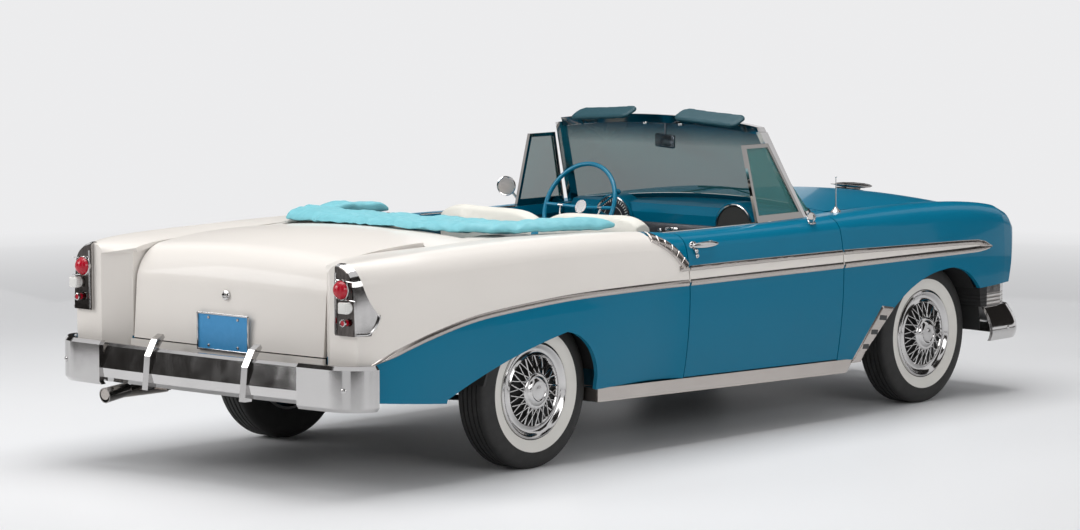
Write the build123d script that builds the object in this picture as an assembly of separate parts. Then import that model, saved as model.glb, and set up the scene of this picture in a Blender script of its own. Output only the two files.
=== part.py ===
from build123d import *
from collections import namedtuple
from math import cos, hypot, radians, sin
import os

# A 1950s two-door convertible with its top folded away, as separate named pieces.
# Millimetres. X runs forward, Y to the car's left, Z up. Pieces are drawn with x = 0 at the rear
# axle and the ground at z = 0, and are moved on export so that the origin is the centre of the
# car's footprint.

os.makedirs("parts", exist_ok=True)

# Driving dimensions of the whole car
LENGTH = 5017
WHEELBASE = 2921
REAR_OVERHANG = 1270
FRONT_TRACK = 1473
REAR_TRACK = 1496
FRONT_END = LENGTH - REAR_OVERHANG

# Wheels and tyres
TYRE_RADIUS = 343
TYRE_WIDTH = 168
TREAD_WIDTH = 124
BEAD_RADIUS = 194
RIM_LIP_RADIUS = 212
RIM_WIDTH = 136
DRUM_RADIUS = 138
HUB_BORE = 16
HUB_CLEARANCE = 0.4

# Panels and gaps
SHELL = 20
SHEET = 12
DOOR_DEPTH = 92
GAP = 6
SEAT_GAP = 0.3
CURVED_GAP = 0.8
DOOR_REAR = 948
DOOR_FRONT = 2100
HOOD_REAR = 2345
HOOD_HALF_WIDTH = (628, 604)
LID_HALF_WIDTH = 586
LID_FRONT = -290
LID_FRONT_SIDE = -450
LID_LOW = 566
TAIL_PANEL_X = -1062
INNER_EDGE = 738
HINGE_PILLAR_Y = (684, 732)
HINGE_POST_X = (DOOR_FRONT + 10, DOOR_FRONT + 90)
HINGE_POST_Y = 862
DOOR_HINGE_Z = (470, 790)
HOOD_HINGE_Y = 560
HOOD_HINGE_Z = 924
LID_HINGE_Y = 200
LID_HINGE_Z = 1010
SILL_ENDS = ((343, 326), (WHEELBASE - 686, 286))
SILL_HEIGHT = 62

# Frame, floor and axles
RAIL_Y = 415
RAIL_WIDTH = 60
RAIL_HEIGHT = 112
RAIL_Z = 260
RAIL_KICK_Z = 474
RAIL_REAR_Z = 444
RAIL_FRONT_Z = 372
GEARBOX_MEMBER_Z = 245
MEMBER_HEIGHT = 80
RAIL_REAR_END = 65 - REAR_OVERHANG
RAIL_FRONT_END = FRONT_END - 147
RAIL_LINE = [(RAIL_REAR_END, RAIL_REAR_Z), (-700, RAIL_REAR_Z), (-350, RAIL_KICK_Z), (150, RAIL_KICK_Z),
             (400, RAIL_Z), (WHEELBASE - 471, RAIL_Z), (WHEELBASE - 171, RAIL_FRONT_Z), (RAIL_FRONT_END, RAIL_FRONT_Z)]
MEMBERS = [(-1120, RAIL_REAR_Z), (-420, 466), (560, 274), (1500, 274), (2300, GEARBOX_MEMBER_Z),
           (FRONT_END - 247, RAIL_FRONT_Z)]
LEAF_LINE = [(-680, 399), (-300, 322), (-50, 290), (50, 290), (620, 292)]
LEAF_THICKNESS = 22
LEAF_Y = (505, 560)
TIE_DOWN_X = (800, 2200)
TIE_DOWN_RADIUS = 12.5
TIE_DOWN_DEPTH = 60
TIE_DOWN_SIDE = 44
FLOOR_Z = RAIL_Z + RAIL_HEIGHT / 2
TOE_BOARD = ((2130, FLOOR_Z), (2300, 560))
HEEL_X = 480
KICK_Z = RAIL_KICK_Z + RAIL_HEIGHT / 2
TRUNK_FLOOR_Z = RAIL_REAR_Z + RAIL_HEIGHT / 2
FLOOR_HALF_WIDTH = 800
WHEELHOUSE_Y = 596
TUNNEL_HALF = 150
TUNNEL_Z = 460
WHEELHOUSE_RADIUS = 396
KINGPIN_Y = 655
KINGPIN_RADIUS = 12
ARM_HEIGHTS = (-112, 122)
SPINDLE_RADIUS = HUB_BORE - HUB_CLEARANCE

# Steering wheel
STEERING_CENTRE = (1700, 380, 985)
STEERING_RADIUS = 216
STEERING_TILT = 22
RIM_TUBE = 11
COLUMN_RADIUS = 26
HUB_FOOT = 50
DASH_HALF = 664
HORN_RING_RADIUS = 128

# Bumper bars, lower and upper edge
FRONT_BUMPER_Z = (277, 445)
REAR_BAR_Z = (385, 552)
REAR_WING_Z = (370, 562)
BUMPER_WALL = 16
WING_WALL = 26
WING_START = 604

# Grille, and how many fields it has up and across
GRILLE_X = FRONT_END - 185
GRILLE_Z = (480, 768)
GRILLE_BAR = 20
GRILLE_ROWS = 6
GRILLE_COLUMNS = 16

# Lamps
LAMP_Y = 735
LAMP_Z = 778
LAMP_RADIUS = 92
TAIL_LENS = (-1168, 790, 874)
TAIL_LENS_RADIUS = 40
REVERSING_LENS = (-1176, 824, 801)
REVERSING_RADIUS = 23
REFLECTOR = (-1176, 812, 738)
REFLECTOR_RADIUS = 13
TAIL_LAMP_INNER = 746

# Plate
PLATE_Z = 630
PLATE_WIDTH = 305
PLATE_HEIGHT = 152
PLATE_BOLT_SPACING = (178, 121)
PLATE_BOLT_RADIUS = 3.5

# Windshield
HEADER_Z = 1440
HEADER_DROP = 58
HEADER_HEIGHT = 42
HEADER_DEPTH = 46
GLASS = 6
PILLAR_DEPTH = 52
PILLAR_WIDTH = 26
FOOT_RAIL_HEIGHT = 24


# Plan of the windshield at its foot and head: centre, start of the wrap and pillar
Bow = namedtuple("Bow", "z centre wrap pillar")
FOOT = Bow(1004, (2318, 0), (2275, 480), (2052, 706))
HEAD = Bow(1402, (1905, 0), (1898, 430), (1862, 622))

# Vent windows
VENT_REAR = 1652
VENT_LOW = 940
VENT_TOP = 1328
VENT_FOOT_Y = 752
VENT_HEAD_Y = 656
VENT_BAR = 18

# Hood profiles, rear to front: x and z at the centre line and at the edges
HOOD_CENTRE = [(HOOD_REAR, 1010), (2950, 1016), (FRONT_END - 247, 968), (FRONT_END - 84, 800)]
HOOD_EDGE = [(HOOD_REAR, 968), (2950, 962), (FRONT_END - 247, 918), (FRONT_END - 104, 778)]

# Lid profiles, front to rear
LID_CENTRE = [(-200, 1040), (-420, 1042), (-900, 1000), (-1062, 819), (-1080, LID_LOW)]
LID_EDGE = [(-200, 1000), (-420, 1002), (-900, 968), (-1046, 810), (-1064, LID_LOW)]
LID_FACE_X = -1084

# Deck: x, half width, edge height and crown height
DECK_ROWS = [(190, 738, 1001, 1010), (-60, 660, 1003, 1038), (-478, 596, 988, 1030)]
DECK_WELL = (-180, 170)
DECK_NARROW = (-80, 636)

# Underside of the top's cover, the same way, and the cover's heights
BOOT_ROWS = [(500, 752, 1010, 1012), (190, 752, 1016, 1018), (-60, 752, 1016, 1038), (-478, 752, 1008, 1030)]
BOOT_Z = (1000, 1068)

# Seats
SEAT_X = (1010, 1560)
SEAT_CUSHION_Z = (470, 612)
SEAT_TOP = 1020
SEAT_HALF = 640
REAR_SEAT_X = (250, 800)
REAR_CUSHION_Z = 590
REAR_SEAT_HALF = 570

# Bumper plans from the centre line outwards: centre, start of the corner, end of the corner, tip
FRONT_BUMPER = [(FRONT_END, 0), (FRONT_END - 42, 640), (FRONT_END - 107, 850), (FRONT_END - 227, 925),
                (FRONT_END - 412, 935)]
REAR_BAR = [(12 - REAR_OVERHANG, 0), (27 - REAR_OVERHANG, 620)]
REAR_WING = [(2 - REAR_OVERHANG, 0), (26 - REAR_OVERHANG, 780), (120 - REAR_OVERHANG, 925), (172 - REAR_OVERHANG, 933)]

# Exhaust
EXHAUST_Y = 300
EXHAUST_Z = 206
EXHAUST_TIP = (560, 335)


def sill_z(x):
    """Top line of the rocker panel, which falls gently towards the front."""
    (x0, z0), (x1, z1) = SILL_ENDS
    return z0 + (z1 - z0) * (x - x0) / (x1 - x0)


# Body sections: half width and height at the sill, the widest line, the start of the shoulder's
# round and the inner edge by the hood, cabin or lid, with the height of the crest.
Station = namedtuple("Station", "x y_sill z_sill y_mid z_mid y_shoulder z_shoulder z_crest y_inner z_inner")

QUARTER = [
    Station(-1150, 828, 404, 858, 640, 846, 886, 974, 690, 936),
    Station(-1056, 872, 396, 893, 645, 884, 895, 984, 592, 955),
    Station(-600, 890, 352, 924, 660, 910, 915, 1004, 592, 990),
    Station(-60, 892, 322, 930, 680, 914, 925, 1012, 640, 1006),
    Station(450, 892, sill_z(450) + 1, 930, 692, 912, 920, 1006, INNER_EDGE, 1000),
    Station(DOOR_REAR - GAP, 890, sill_z(DOOR_REAR) + 1, 928, 704, 905, 903, 970, INNER_EDGE, 966),
]
# Cowl top: x, half width, edge height and crown height
COWL_ROWS = [(DOOR_FRONT + GAP, 724, 967, 990), (HOOD_REAR - GAP, 664, 966, 1008)]
COWL_SIDE_Y = 700
DOOR = [
    Station(DOOR_REAR, 890, sill_z(DOOR_REAR) + GAP, 928, 704, 905, 903, 970, INNER_EDGE, 966),
    Station(1500, 890, sill_z(1500) + GAP, 928, 710, 905, 902, 968, INNER_EDGE + 3, 964),
    Station(DOOR_FRONT, 890, sill_z(DOOR_FRONT) + GAP, 928, 716, 906, 904, 976, INNER_EDGE + 6, 970),
]
FENDER = [
    Station(DOOR_FRONT + GAP, 890, sill_z(DOOR_FRONT) + 1, 928, 716, 906, 904, 976, 724, 970),
    Station(2480, 890, sill_z(2480) + 1, 930, 720, 910, 903, 986, 636, 970),
    Station(WHEELBASE, 890, 290, 930, 720, 912, 898, 988, 628, 964),
    Station(FRONT_END - 447, 884, 330, 916, 705, 904, 880, 970, 616, 942),
    Station(FRONT_END - 257, 868, 440, 896, 690, 888, 856, 946, 610, 918),
    Station(FRONT_END - 172, 856, 450, 878, 686, 871, 836, 914, 610, 886),
    Station(FRONT_END - 131, 848, 452, 862, 684, 856, 812, 868, 610, 846),
]

# Line of the nose below the headlamps: x and z at its top and foot
NOSE_LINE = ((FRONT_END - 137, 822), (FRONT_END - 190, 560))
GRILLE_HALF = 616

# Wheel openings in the side view: x, z and the bulge of the stretch to the next point
REAR_ARCH = [(-665, 200, 0), (-640, 372, 22), (95, 602, 52), (322, 380, 0), (327, 200, 0)]
FRONT_ARCH = [(WHEELBASE - 686, 200, 0), (WHEELBASE - 621, 300, 0), (WHEELBASE - 401, 508, 34),
              (WHEELBASE + 4, 667, 44), (WHEELBASE + 332, 547, 4), (WHEELBASE + 429, 365, 0), (WHEELBASE + 480, 200, 0)]

# Corner lamps below the headlamps in the side view and in the plan
CORNER_LAMP_SIDE = [(FRONT_END - 468, 451), (FRONT_END - 483, 548), (FRONT_END - 189, 556), (FRONT_END - 197, 451)]
CORNER_LAMP_PLAN = [(FRONT_END - 490, 700), (FRONT_END - 490, 902), (FRONT_END - 277, 884), (FRONT_END - 208, 852),
                    (FRONT_END - 175, 790), (FRONT_END - 169, GRILLE_HALF + 16), (FRONT_END - 240, GRILLE_HALF + 16)]


def turn(tangent, start, end):
    """Direction in which an arc arrives at its end when it leaves its start along a tangent."""
    run = hypot(end[0] - start[0], end[1] - start[1])
    u, v = (end[0] - start[0]) / run, (end[1] - start[1]) / run
    along = 2 * (u * tangent[0] + v * tangent[1])
    return (along * u - tangent[0], along * v - tangent[1])


def flow(points, known, tangent):
    """Directions at each point along arcs that run smoothly into each other."""
    ways = {known: tangent}
    for i in range(known, len(points) - 1):
        ways[i + 1] = turn(ways[i], points[i], points[i + 1])
    for i in range(known, 0, -1):
        ways[i - 1] = turn(ways[i], points[i], points[i - 1])
    return [ways[i] for i in range(len(points))]


def arcs(points, ways, place):
    """Edges along the points, placed in space; a stretch with no turn is a line."""
    origin = place(0, 0)
    edges = []
    for (a, b), way in zip(zip(points, points[1:]), ways):
        start, end = place(*a), place(*b)
        chord = end - start
        tangent = place(*way) - origin
        if tangent.cross(chord.normalized()).length < 0.002:
            edges.append(Edge.make_line(start, end))
        else:
            edges.append(Edge.make_tangent_arc(start, tangent, end))
    return edges


def inside(points, ways, wall):
    """The same points moved to the left of their way by the wall."""
    return [(u - wall * b, v + wall * a) for (u, v), (a, b) in zip(points, ways)]


def skin_wire(points, known, tangent, wall, place):
    """A closed section: arcs through the points, and the same arcs a wall's depth inside them."""
    ways = flow(points, known, tangent)
    inner = inside(points, ways, wall)
    back = [(-a, -b) for a, b in reversed(ways)]
    edges = arcs(points, ways, place)
    edges.append(Edge.make_line(place(*points[-1]), place(*inner[-1])))
    edges += arcs(inner[::-1], back, place)
    edges.append(Edge.make_line(place(*inner[0]), place(*points[0])))
    return Wire(edges)


def at_x(x, side):
    """Places a section's y and z at one x, on one side of the car."""
    return lambda y, z: Vector(x, side * y, z)


def at_y(y):
    """Places a profile's x and z at one y."""
    return lambda x, z: Vector(x, y, z)


def at_z(z):
    """Places a plan's x and y at one z."""
    return lambda x, y: Vector(x, y, z)


def section_points(s):
    """Sill, widest line, shoulder, crest and inner edge, the crest placed so that its top is level."""
    low = [(s.y_sill, s.z_sill), (s.y_mid, s.z_mid), (s.y_shoulder, s.z_shoulder)]
    a, b = flow(low, 1, (0, 1))[2]
    crest_y = s.y_shoulder + (a - 1) / b * (s.z_crest - s.z_shoulder)
    return low + [(crest_y, s.z_crest), (s.y_inner, s.z_inner)]


def panel_wire(s, side, wall=SHELL):
    return skin_wire(section_points(s), 1, (0, 1), wall, at_x(s.x, side))


def filled_wire(s, side, depth):
    """The outer curve moved in by a depth and closed down its inner side."""
    points = section_points(s)
    ways = flow(points, 1, (0, 1))
    curve = inside(points, ways, depth)
    place = at_x(s.x, side)
    edges = arcs(curve, ways, place)
    corner = (curve[-1][0], curve[0][1])
    edges.append(Edge.make_line(place(*curve[-1]), place(*corner)))
    edges.append(Edge.make_line(place(*corner), place(*curve[0])))
    return Wire(edges)


def loft(wires, ruled=False):
    return Solid.make_loft(wires, ruled=ruled)


def polygon(points):
    """A flat face through points in space."""
    return Face(Wire.make_polygon([Vector(*p) for p in points], close=True))


def across(points, y_from, y_to):
    """A solid with a straight-sided profile of x and z, from one y to another."""
    face = polygon([(x, y_from, z) for x, z in points])
    return extrude(face, amount=y_to - y_from, dir=(0, 1, 0))


def bulged_across(points, y_from, y_to):
    """The same, where each point also gives the bulge of the stretch to the next one."""
    edges = []
    for (x0, z0, bulge), (x1, z1, _) in zip(points, points[1:] + points[:1]):
        start, end = Vector(x0, y_from, z0), Vector(x1, y_from, z1)
        if bulge:
            run = hypot(x1 - x0, z1 - z0)
            off = Vector(-(z1 - z0) / run, 0, (x1 - x0) / run) * bulge
            edges.append(Edge.make_three_point_arc(start, (start + end) / 2 + off, end))
        else:
            edges.append(Edge.make_line(start, end))
    return extrude(Face(Wire(edges)), amount=y_to - y_from, dir=(0, 1, 0))


def upright(points, z0, z1):
    """A solid with a plan of x and y, from one height to another."""
    return extrude(polygon([(x, y, z0) for x, y in points]), amount=z1 - z0, dir=(0, 0, 1))


def block(x0, x1, y0, y1, z0, z1):
    """A box between two corners, whichever way round its y values are given."""
    return Pos((x0 + x1) / 2, (y0 + y1) / 2, (z0 + z1) / 2) * Box(x1 - x0, abs(y1 - y0), z1 - z0)


def pin(x, y, z, radius, length, axis=(0, 1, 0)):
    """A cylinder centred on a point, along an axis."""
    return Plane((x, y, z), z_dir=axis) * Cylinder(radius, length)


def rod(start, end, radius):
    """A round bar between two points."""
    way = Vector(*end) - Vector(*start)
    return Plane((Vector(*start) + Vector(*end)) / 2, z_dir=way) * Cylinder(radius, way.length)


def spun(profile, place):
    """A ring or bowl: rows of radius and height turned about the local Z axis, then placed."""
    face = polygon([(r, 0, h) for r, h in profile])
    return place * revolve(face, Axis.Z, 360)


def tail_outline(grow):
    """The tail lamp's housing in the side view: a tall crescent round the corner."""
    return [(-1200, 682 - grow, 0), (-1092 + grow, 682 - grow, 8), (-1046 + grow, 752, 26),
            (-1128 + grow, 990, 0), (-1200, 990, 0)]


def quarter_panel(side):
    """Rear side panel with its solid tail wall, trunk side and the teardrop wheel opening."""
    skin = loft([panel_wire(s, side) for s in QUARTER])
    tail = loft([filled_wire(s, side, SHELL / 2) for s in QUARTER[:2]])
    low = TRUNK_FLOOR_Z + SHEET + SEAT_GAP
    trunk_side = across([(-1058, low), (-700, low), (-450, low + 22), (-450, 968), (-500, 968), (-540, 975),
                         (-600, 975), (-1058, 940)], side * 594, side * 602)
    arch = bulged_across(REAR_ARCH, side * 560, side * 1000)
    lamp = bulged_across(tail_outline(CURVED_GAP), side * (TAIL_LAMP_INNER - CURVED_GAP), side * 1000)
    return skin + tail + trunk_side - arch - lamp - lid_plan(LID_HALF_WIDTH, GAP) - rocker_room(side)


def fender(side):
    """Front side panel with its rounded brow, nose wall, wheel opening and headlamp hole."""
    skin = loft([panel_wire(s, side) for s in FENDER[:-2]]) + loft([panel_wire(s, side) for s in FENDER[-3:]], ruled=True)
    (high_x, high_z), (low_x, low_z) = NOSE_LINE
    slab = across([(high_x, 1000), (high_x, high_z), (low_x, low_z), (low_x, 200), (low_x - SHELL, 200),
                   (low_x - SHELL, low_z), (high_x - SHELL, high_z), (high_x - SHELL, 1000)],
                  side * (GRILLE_HALF + SEAT_GAP), side * 1000)
    wall = loft([filled_wire(s, side, SHELL / 2) for s in FENDER[-4:]], ruled=True) & slab
    arch = bulged_across(FRONT_ARCH, side * 560, side * 1000)
    beyond = FRONT_END + 100
    lean = across([(high_x, high_z), (low_x, low_z), (low_x, 200), (beyond, 200), (beyond, high_z)],
                  side * 500, side * 1000)
    lamp = pin(high_x - 20, side * LAMP_Y, LAMP_Z, LAMP_RADIUS + CURVED_GAP, 300, (1, 0, 0))
    (_, _), (rear_x, rear_z), (front_x, front_z), (_, _) = CORNER_LAMP_SIDE
    low = across([(rear_x - 60, 200), (rear_x - 20, rear_z), (rear_x, rear_z + CURVED_GAP),
                  (front_x, front_z + CURVED_GAP), (beyond, front_z + CURVED_GAP), (beyond, 200)],
                 side * 500, side * 1000)
    return skin + wall - arch - lean - lamp - low - rocker_room(side)


def door(side):
    """A door as deep as the whole wall, shoulder and all."""
    wires = []
    for s in DOOR:
        points = section_points(s)
        ways = flow(points, 1, (0, 1))
        place = at_x(s.x, side)
        inner = s.y_mid - DOOR_DEPTH
        corners = [points[-1], (s.y_inner, s.z_inner - 50), (inner, s.z_inner - 120), (inner, s.z_sill), points[0]]
        edges = arcs(points, ways, place)
        edges += [Edge.make_line(place(*a), place(*b)) for a, b in zip(corners, corners[1:])]
        wires.append(Wire(edges))
    shape = loft(wires)
    outer = side * (HINGE_POST_Y - 2)
    for z in DOOR_HINGE_Z:
        shape = shape + block(DOOR_FRONT - 5, HINGE_POST_X[0] - SEAT_GAP, outer - side * 22, outer, z - 40, z + 40)
    return shape


def bow_at(z):
    """The windshield's plan at a height, on straight lines from foot to head."""
    share = (z - FOOT.z) / (HEAD.z - FOOT.z)
    mix = lambda p, q: (p[0] + (q[0] - p[0]) * share, p[1] + (q[1] - p[1]) * share)
    return Bow(z, *[mix(p, q) for p, q in zip(FOOT[1:], HEAD[1:])])


def bow_wire(z, outside, wall):
    """The closed plan of a wall of the windshield, starting a little outside the glass."""
    bow = bow_at(z)
    right = [(x, -y) for x, y in (bow.pillar, bow.wrap)]
    points = right + [bow.centre, bow.wrap, bow.pillar]
    ways = flow(points, 2, (0, 1))
    return skin_wire(inside(points, ways, -outside), 2, (0, 1), wall, at_z(z))


def bow_band(z0, z1, outside, wall):
    return loft([bow_wire(z0, outside, wall), bow_wire(z1, outside, wall)], ruled=True)


def crown_height(half, edge, crown, y):
    """Height of a crowned surface at a distance from the centre line."""
    return crown - (crown - edge) * (y / half) ** 2


def crowned(rows, wide, low, high, bottom=None):
    """A crowned sheet between two offsets from rows of x, half width, edge and crown height."""
    wires = []
    for x, half, edge, crown in rows:
        side_z = crown_height(half, edge, crown, wide)
        top = [(x, -wide, side_z + high), (x, 0, crown + high), (x, wide, side_z + high)]
        if bottom is None:
            under = Edge.make_three_point_arc((x, wide, side_z + low), (x, 0, crown + low), (x, -wide, side_z + low))
            foot = side_z + low
        else:
            under = Edge.make_line((x, wide, bottom), (x, -wide, bottom))
            foot = bottom
        wires.append(Wire([
            Edge.make_three_point_arc(*top),
            Edge.make_line((x, wide, side_z + high), (x, wide, foot)),
            under,
            Edge.make_line((x, -wide, foot), (x, -wide, side_z + high)),
        ]))
    return loft(wires, ruled=True)


def header_band(high, low):
    """A band across the car, crowned like the header, between two drops below its top."""
    edges = []
    wide, drop = 760, HEADER_DROP
    top, foot = HEADER_Z - high, HEADER_Z - low
    edges.append(Edge.make_three_point_arc((1500, -wide, top - drop), (1500, 0, top), (1500, wide, top - drop)))
    edges.append(Edge.make_line((1500, wide, top - drop), (1500, wide, foot - drop)))
    edges.append(Edge.make_three_point_arc((1500, wide, foot - drop), (1500, 0, foot), (1500, -wide, foot - drop)))
    edges.append(Edge.make_line((1500, -wide, foot - drop), (1500, -wide, top - drop)))
    return extrude(Face(Wire(edges)), amount=1200, dir=(1, 0, 0))


def cowl_rows():
    """The cowl's rows, run on level to the rear under the posts and a little to the front."""
    first, last = COWL_ROWS
    return [(1800, *first[1:]), first, last, (last[0] + 200, *last[1:])]


def post(side, grow):
    """The leaning pillar that closes one end of the pane, or with a growth the room around it."""
    ends = []
    for z in (900, 1470):
        x, y = bow_at(z).pillar
        inner, outer = y - PILLAR_WIDTH / 2 - grow, y + PILLAR_WIDTH / 2 + grow
        ends.append(Wire.make_polygon([
            Vector(x - PILLAR_DEPTH, side * inner, z),
            Vector(x - PILLAR_DEPTH, side * outer, z),
            Vector(x + grow, side * (outer + 3), z),
            Vector(x + grow, side * inner, z),
        ], close=True))
    return loft(ends, ruled=True)


def windshield_glass():
    """The wrapped pane between the header, the foot rail and the two pillars."""
    pane = bow_band(900, 1460, 0, GLASS) & header_band(HEADER_HEIGHT + SEAT_GAP, 700)
    pane = pane - crowned(cowl_rows(), 770, 0, FOOT_RAIL_HEIGHT + CURVED_GAP, 700)
    return pane - post(1, SEAT_GAP) - post(-1, SEAT_GAP)


def windshield_frame():
    """Header rail, foot rail and the two pillars that close the wrapped pane's ends."""
    header = bow_band(1300, 1470, 10, HEADER_DEPTH) & header_band(0, HEADER_HEIGHT)
    shape = header + (bow_band(900, 1060, 8, 26) & crowned(cowl_rows(), 770, CURVED_GAP, FOOT_RAIL_HEIGHT))
    for side in (1, -1):
        pillar = post(side, 0) & header_band(HEADER_HEIGHT / 2, 700)
        shape = shape + (pillar - crowned(cowl_rows(), 770, 0, CURVED_GAP, 700))
    return shape


def vent_window(side, seat):
    """Quarter light on the door: its frame and pane, leaning in beside the pillar."""
    def corner(x, z, out=0.0):
        share = (z - FOOT.z) / (HEAD.z - FOOT.z)
        y = VENT_FOOT_Y + (VENT_HEAD_Y - VENT_FOOT_Y) * share + out
        return Vector(x, side * y, z)

    def front(z):
        return bow_at(z).pillar[0] - PILLAR_DEPTH - GAP

    def plate(rear_in, edge_in, low, high, y_out, depth):
        rear = VENT_REAR + rear_in
        points = [corner(rear, low, y_out), corner(front(low) - edge_in, low, y_out),
                  corner(front(high) - edge_in, high, y_out), corner(rear, high, y_out)]
        face = Face(Wire.make_polygon(points, close=True))
        return extrude(face, amount=depth, dir=(0, -side, 0))

    frame = plate(0, 0, VENT_LOW, VENT_TOP, 0, 16)
    hole = plate(VENT_BAR, VENT_BAR, VENT_LOW + 60, VENT_TOP - VENT_BAR, 10, 60)
    pane = plate(VENT_BAR, VENT_BAR, VENT_LOW + 60, VENT_TOP - VENT_BAR, -5, 5)
    return frame - hole + pane - Pos(0, 0, CURVED_GAP) * seat


def deck_wire(y, profile, wall):
    """A lid's or hood's side profile at one y, level at its second point, with its wall below it."""
    points = profile[::-1]
    known = len(points) - 2
    return skin_wire(points, known, (-1, 0), wall, at_y(y))


def hood():
    """The crowned hood, rolled down at its front edge and trimmed to its plan."""
    half = HOOD_HALF_WIDTH[0] + 30
    wires = [deck_wire(y, p, SHELL) for y, p in ((-half, HOOD_EDGE), (0, HOOD_CENTRE), (half, HOOD_EDGE))]
    rear, front = [w - GAP for w in HOOD_HALF_WIDTH]
    tip = FRONT_END - 40
    plan = upright([(HOOD_REAR - 5, -rear), (tip, -front), (tip, front), (HOOD_REAR - 5, rear)], 700, 1100)
    shape = loft(wires) & plan
    for side in (1, -1):
        shape = shape + block(HOOD_REAR + 8, HOOD_REAR + 38, side * HOOD_HINGE_Y, side * (HOOD_HINGE_Y + 30),
                              HOOD_HINGE_Z + SEAT_GAP, 956)
    return shape


def lid_plan(half, grow):
    """Plan of the lid: straight sides and a bowed front edge."""
    front = LID_FRONT + grow
    side_front = LID_FRONT_SIDE + grow
    edges = [
        Edge.make_three_point_arc((side_front, -half, 300), (front, 0, 300), (side_front, half, 300)),
        Edge.make_line((side_front, half, 300), (-1300, half, 300)),
        Edge.make_line((-1300, half, 300), (-1300, -half, 300)),
        Edge.make_line((-1300, -half, 300), (side_front, -half, 300)),
    ]
    return extrude(Face(Wire(edges)), amount=900, dir=(0, 0, 1))


def lid_skin(wall):
    """The crowned deck that rolls over and runs down to the bumper, wider than the lid itself."""
    half = 640
    wires = []
    for y, profile in ((-half, LID_EDGE), (0, LID_CENTRE), (half, LID_EDGE)):
        wires.append(skin_wire(profile, 1, (-1, 0), wall, at_y(y)))
    return loft(wires)


def trunk_lid():
    lid = lid_skin(SHELL) & lid_plan(LID_HALF_WIDTH - GAP, 0)
    lid = lid & block(-1300, 0, -700, 700, 300, 1200)
    y, z = PLATE_BOLT_SPACING
    pad = block(LID_FACE_X, LID_FACE_X + 22, -110, 110, LID_LOW + 4, PLATE_Z + 75)
    lid = lid + pad
    for side in (1, -1):
        lid = lid + block(LID_FRONT - 70, LID_FRONT - 42, side * LID_HINGE_Y, side * (LID_HINGE_Y + 30),
                          LID_HINGE_Z + SEAT_GAP, LID_HINGE_Z + 12)
    for dy in (-y / 2, y / 2):
        for dz in (-z / 2, z / 2):
            lid = lid - pin(-1070, dy, PLATE_Z + dz, PLATE_BOLT_RADIUS, 60, (1, 0, 0))
    return lid


def licence_plate():
    """A blank plate, bolted through four holes to the lid."""
    y, z = PLATE_BOLT_SPACING
    face = LID_FACE_X - SEAT_GAP
    plate = block(face - 3, face, -PLATE_WIDTH / 2, PLATE_WIDTH / 2,
                  PLATE_Z - PLATE_HEIGHT / 2, PLATE_Z + PLATE_HEIGHT / 2)
    for dy in (-y / 2, y / 2):
        for dz in (-z / 2, z / 2):
            plate = plate - pin(-1070, dy, PLATE_Z + dz, PLATE_BOLT_RADIUS, 80, (1, 0, 0))
    return plate


def between(stations, gap):
    """The room between the inner edges of the two side panels, less a gap at each."""
    wires = []
    for s in stations:
        wide = s.y_inner - gap
        wires.append(Wire.make_polygon([Vector(s.x, wide, 700), Vector(s.x, wide, 1300), Vector(s.x, -wide, 1300),
                                        Vector(s.x, -wide, 700)], close=True))
    return loft(wires)


def rear_deck():
    """The fixed deck between the lid and the cabin, with the open well for the folded top."""
    well = block(DECK_WELL[0], DECK_WELL[1], -560, 560, 900, 1100)
    shape = crowned(DECK_ROWS, 745, -SHEET, 0) - lid_plan(LID_HALF_WIDTH, GAP) - well
    shape = shape & between(QUARTER, CURVED_GAP)
    rear, wide = DECK_NARROW
    for side in (1, -1):
        shape = shape - block(rear, 300, side * wide, side * 800, 900, 1100)
        near, far = side * LID_HINGE_Y, side * (LID_HINGE_Y + 30)
        shape = shape + block(LID_FRONT - 70, DECK_WELL[0] - 4, near, far, LID_HINGE_Z - 8, LID_HINGE_Z)
        shape = shape + block(LID_FRONT + 20, DECK_WELL[0] - 4, near, far, LID_HINGE_Z - 4, 1028)
    return shape


def tail_panel():
    """The panel under the lid and behind the bumper, between the quarters."""
    return block(-1080, TAIL_PANEL_X, -588, 588, TRUNK_FLOOR_Z + SEAT_GAP, LID_LOW - GAP)


def cowl():
    """Cowl top, firewall and the hinge pillars on which the windshield's posts stand."""
    shape = crowned(COWL_ROWS, 730, -SHELL, 0) & between(FENDER[:-2], CURVED_GAP)
    _, (toe_x, toe_z) = TOE_BOARD
    shape = shape + block(toe_x, toe_x + SHEET, -COWL_SIDE_Y, COWL_SIDE_Y, toe_z, 938)
    shape = shape + block(toe_x, toe_x + SHEET, -600, 600, 930, 978)
    low, high = HINGE_PILLAR_Y
    for side in (1, -1):
        shape = shape + block(1996, DOOR_FRONT - GAP, side * low, side * high, 330, 966)
        shape = shape + block(*HINGE_POST_X, side * (COWL_SIDE_Y - SHEET), side * HINGE_POST_Y, 330, 926)
        shape = shape + block(toe_x, HOOD_REAR + 40, side * HOOD_HINGE_Y, side * (HOOD_HINGE_Y + 30), 900, HOOD_HINGE_Z)
        shape = shape + block(DOOR_FRONT - GAP - 1, toe_x + 2, side * COWL_SIDE_Y, side * (COWL_SIDE_Y - SHEET), 330, 938)
    return shape


def dashboard():
    """Rolled dash with a matching pair of hooded half-rounds, gauges on the left."""
    rear = DOOR_FRONT + GAP - SEAT_GAP
    shape = across([(rear, 962), (rear, 986), (2040, 1000), (1985, 992), (1962, 950), (1990, 800), (2010, 790),
                    (2012, 940)], -DASH_HALF, DASH_HALF)
    for y in (380, -380):
        shape = shape + (pin(2005, y, 905, 122, 96, (1, 0, 0)) & block(1900, 2100, -690, 690, 905, 1100))
    return shape - rod(steering_way(HUB_FOOT), steering_way(700), COLUMN_RADIUS + SEAT_GAP)


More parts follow.
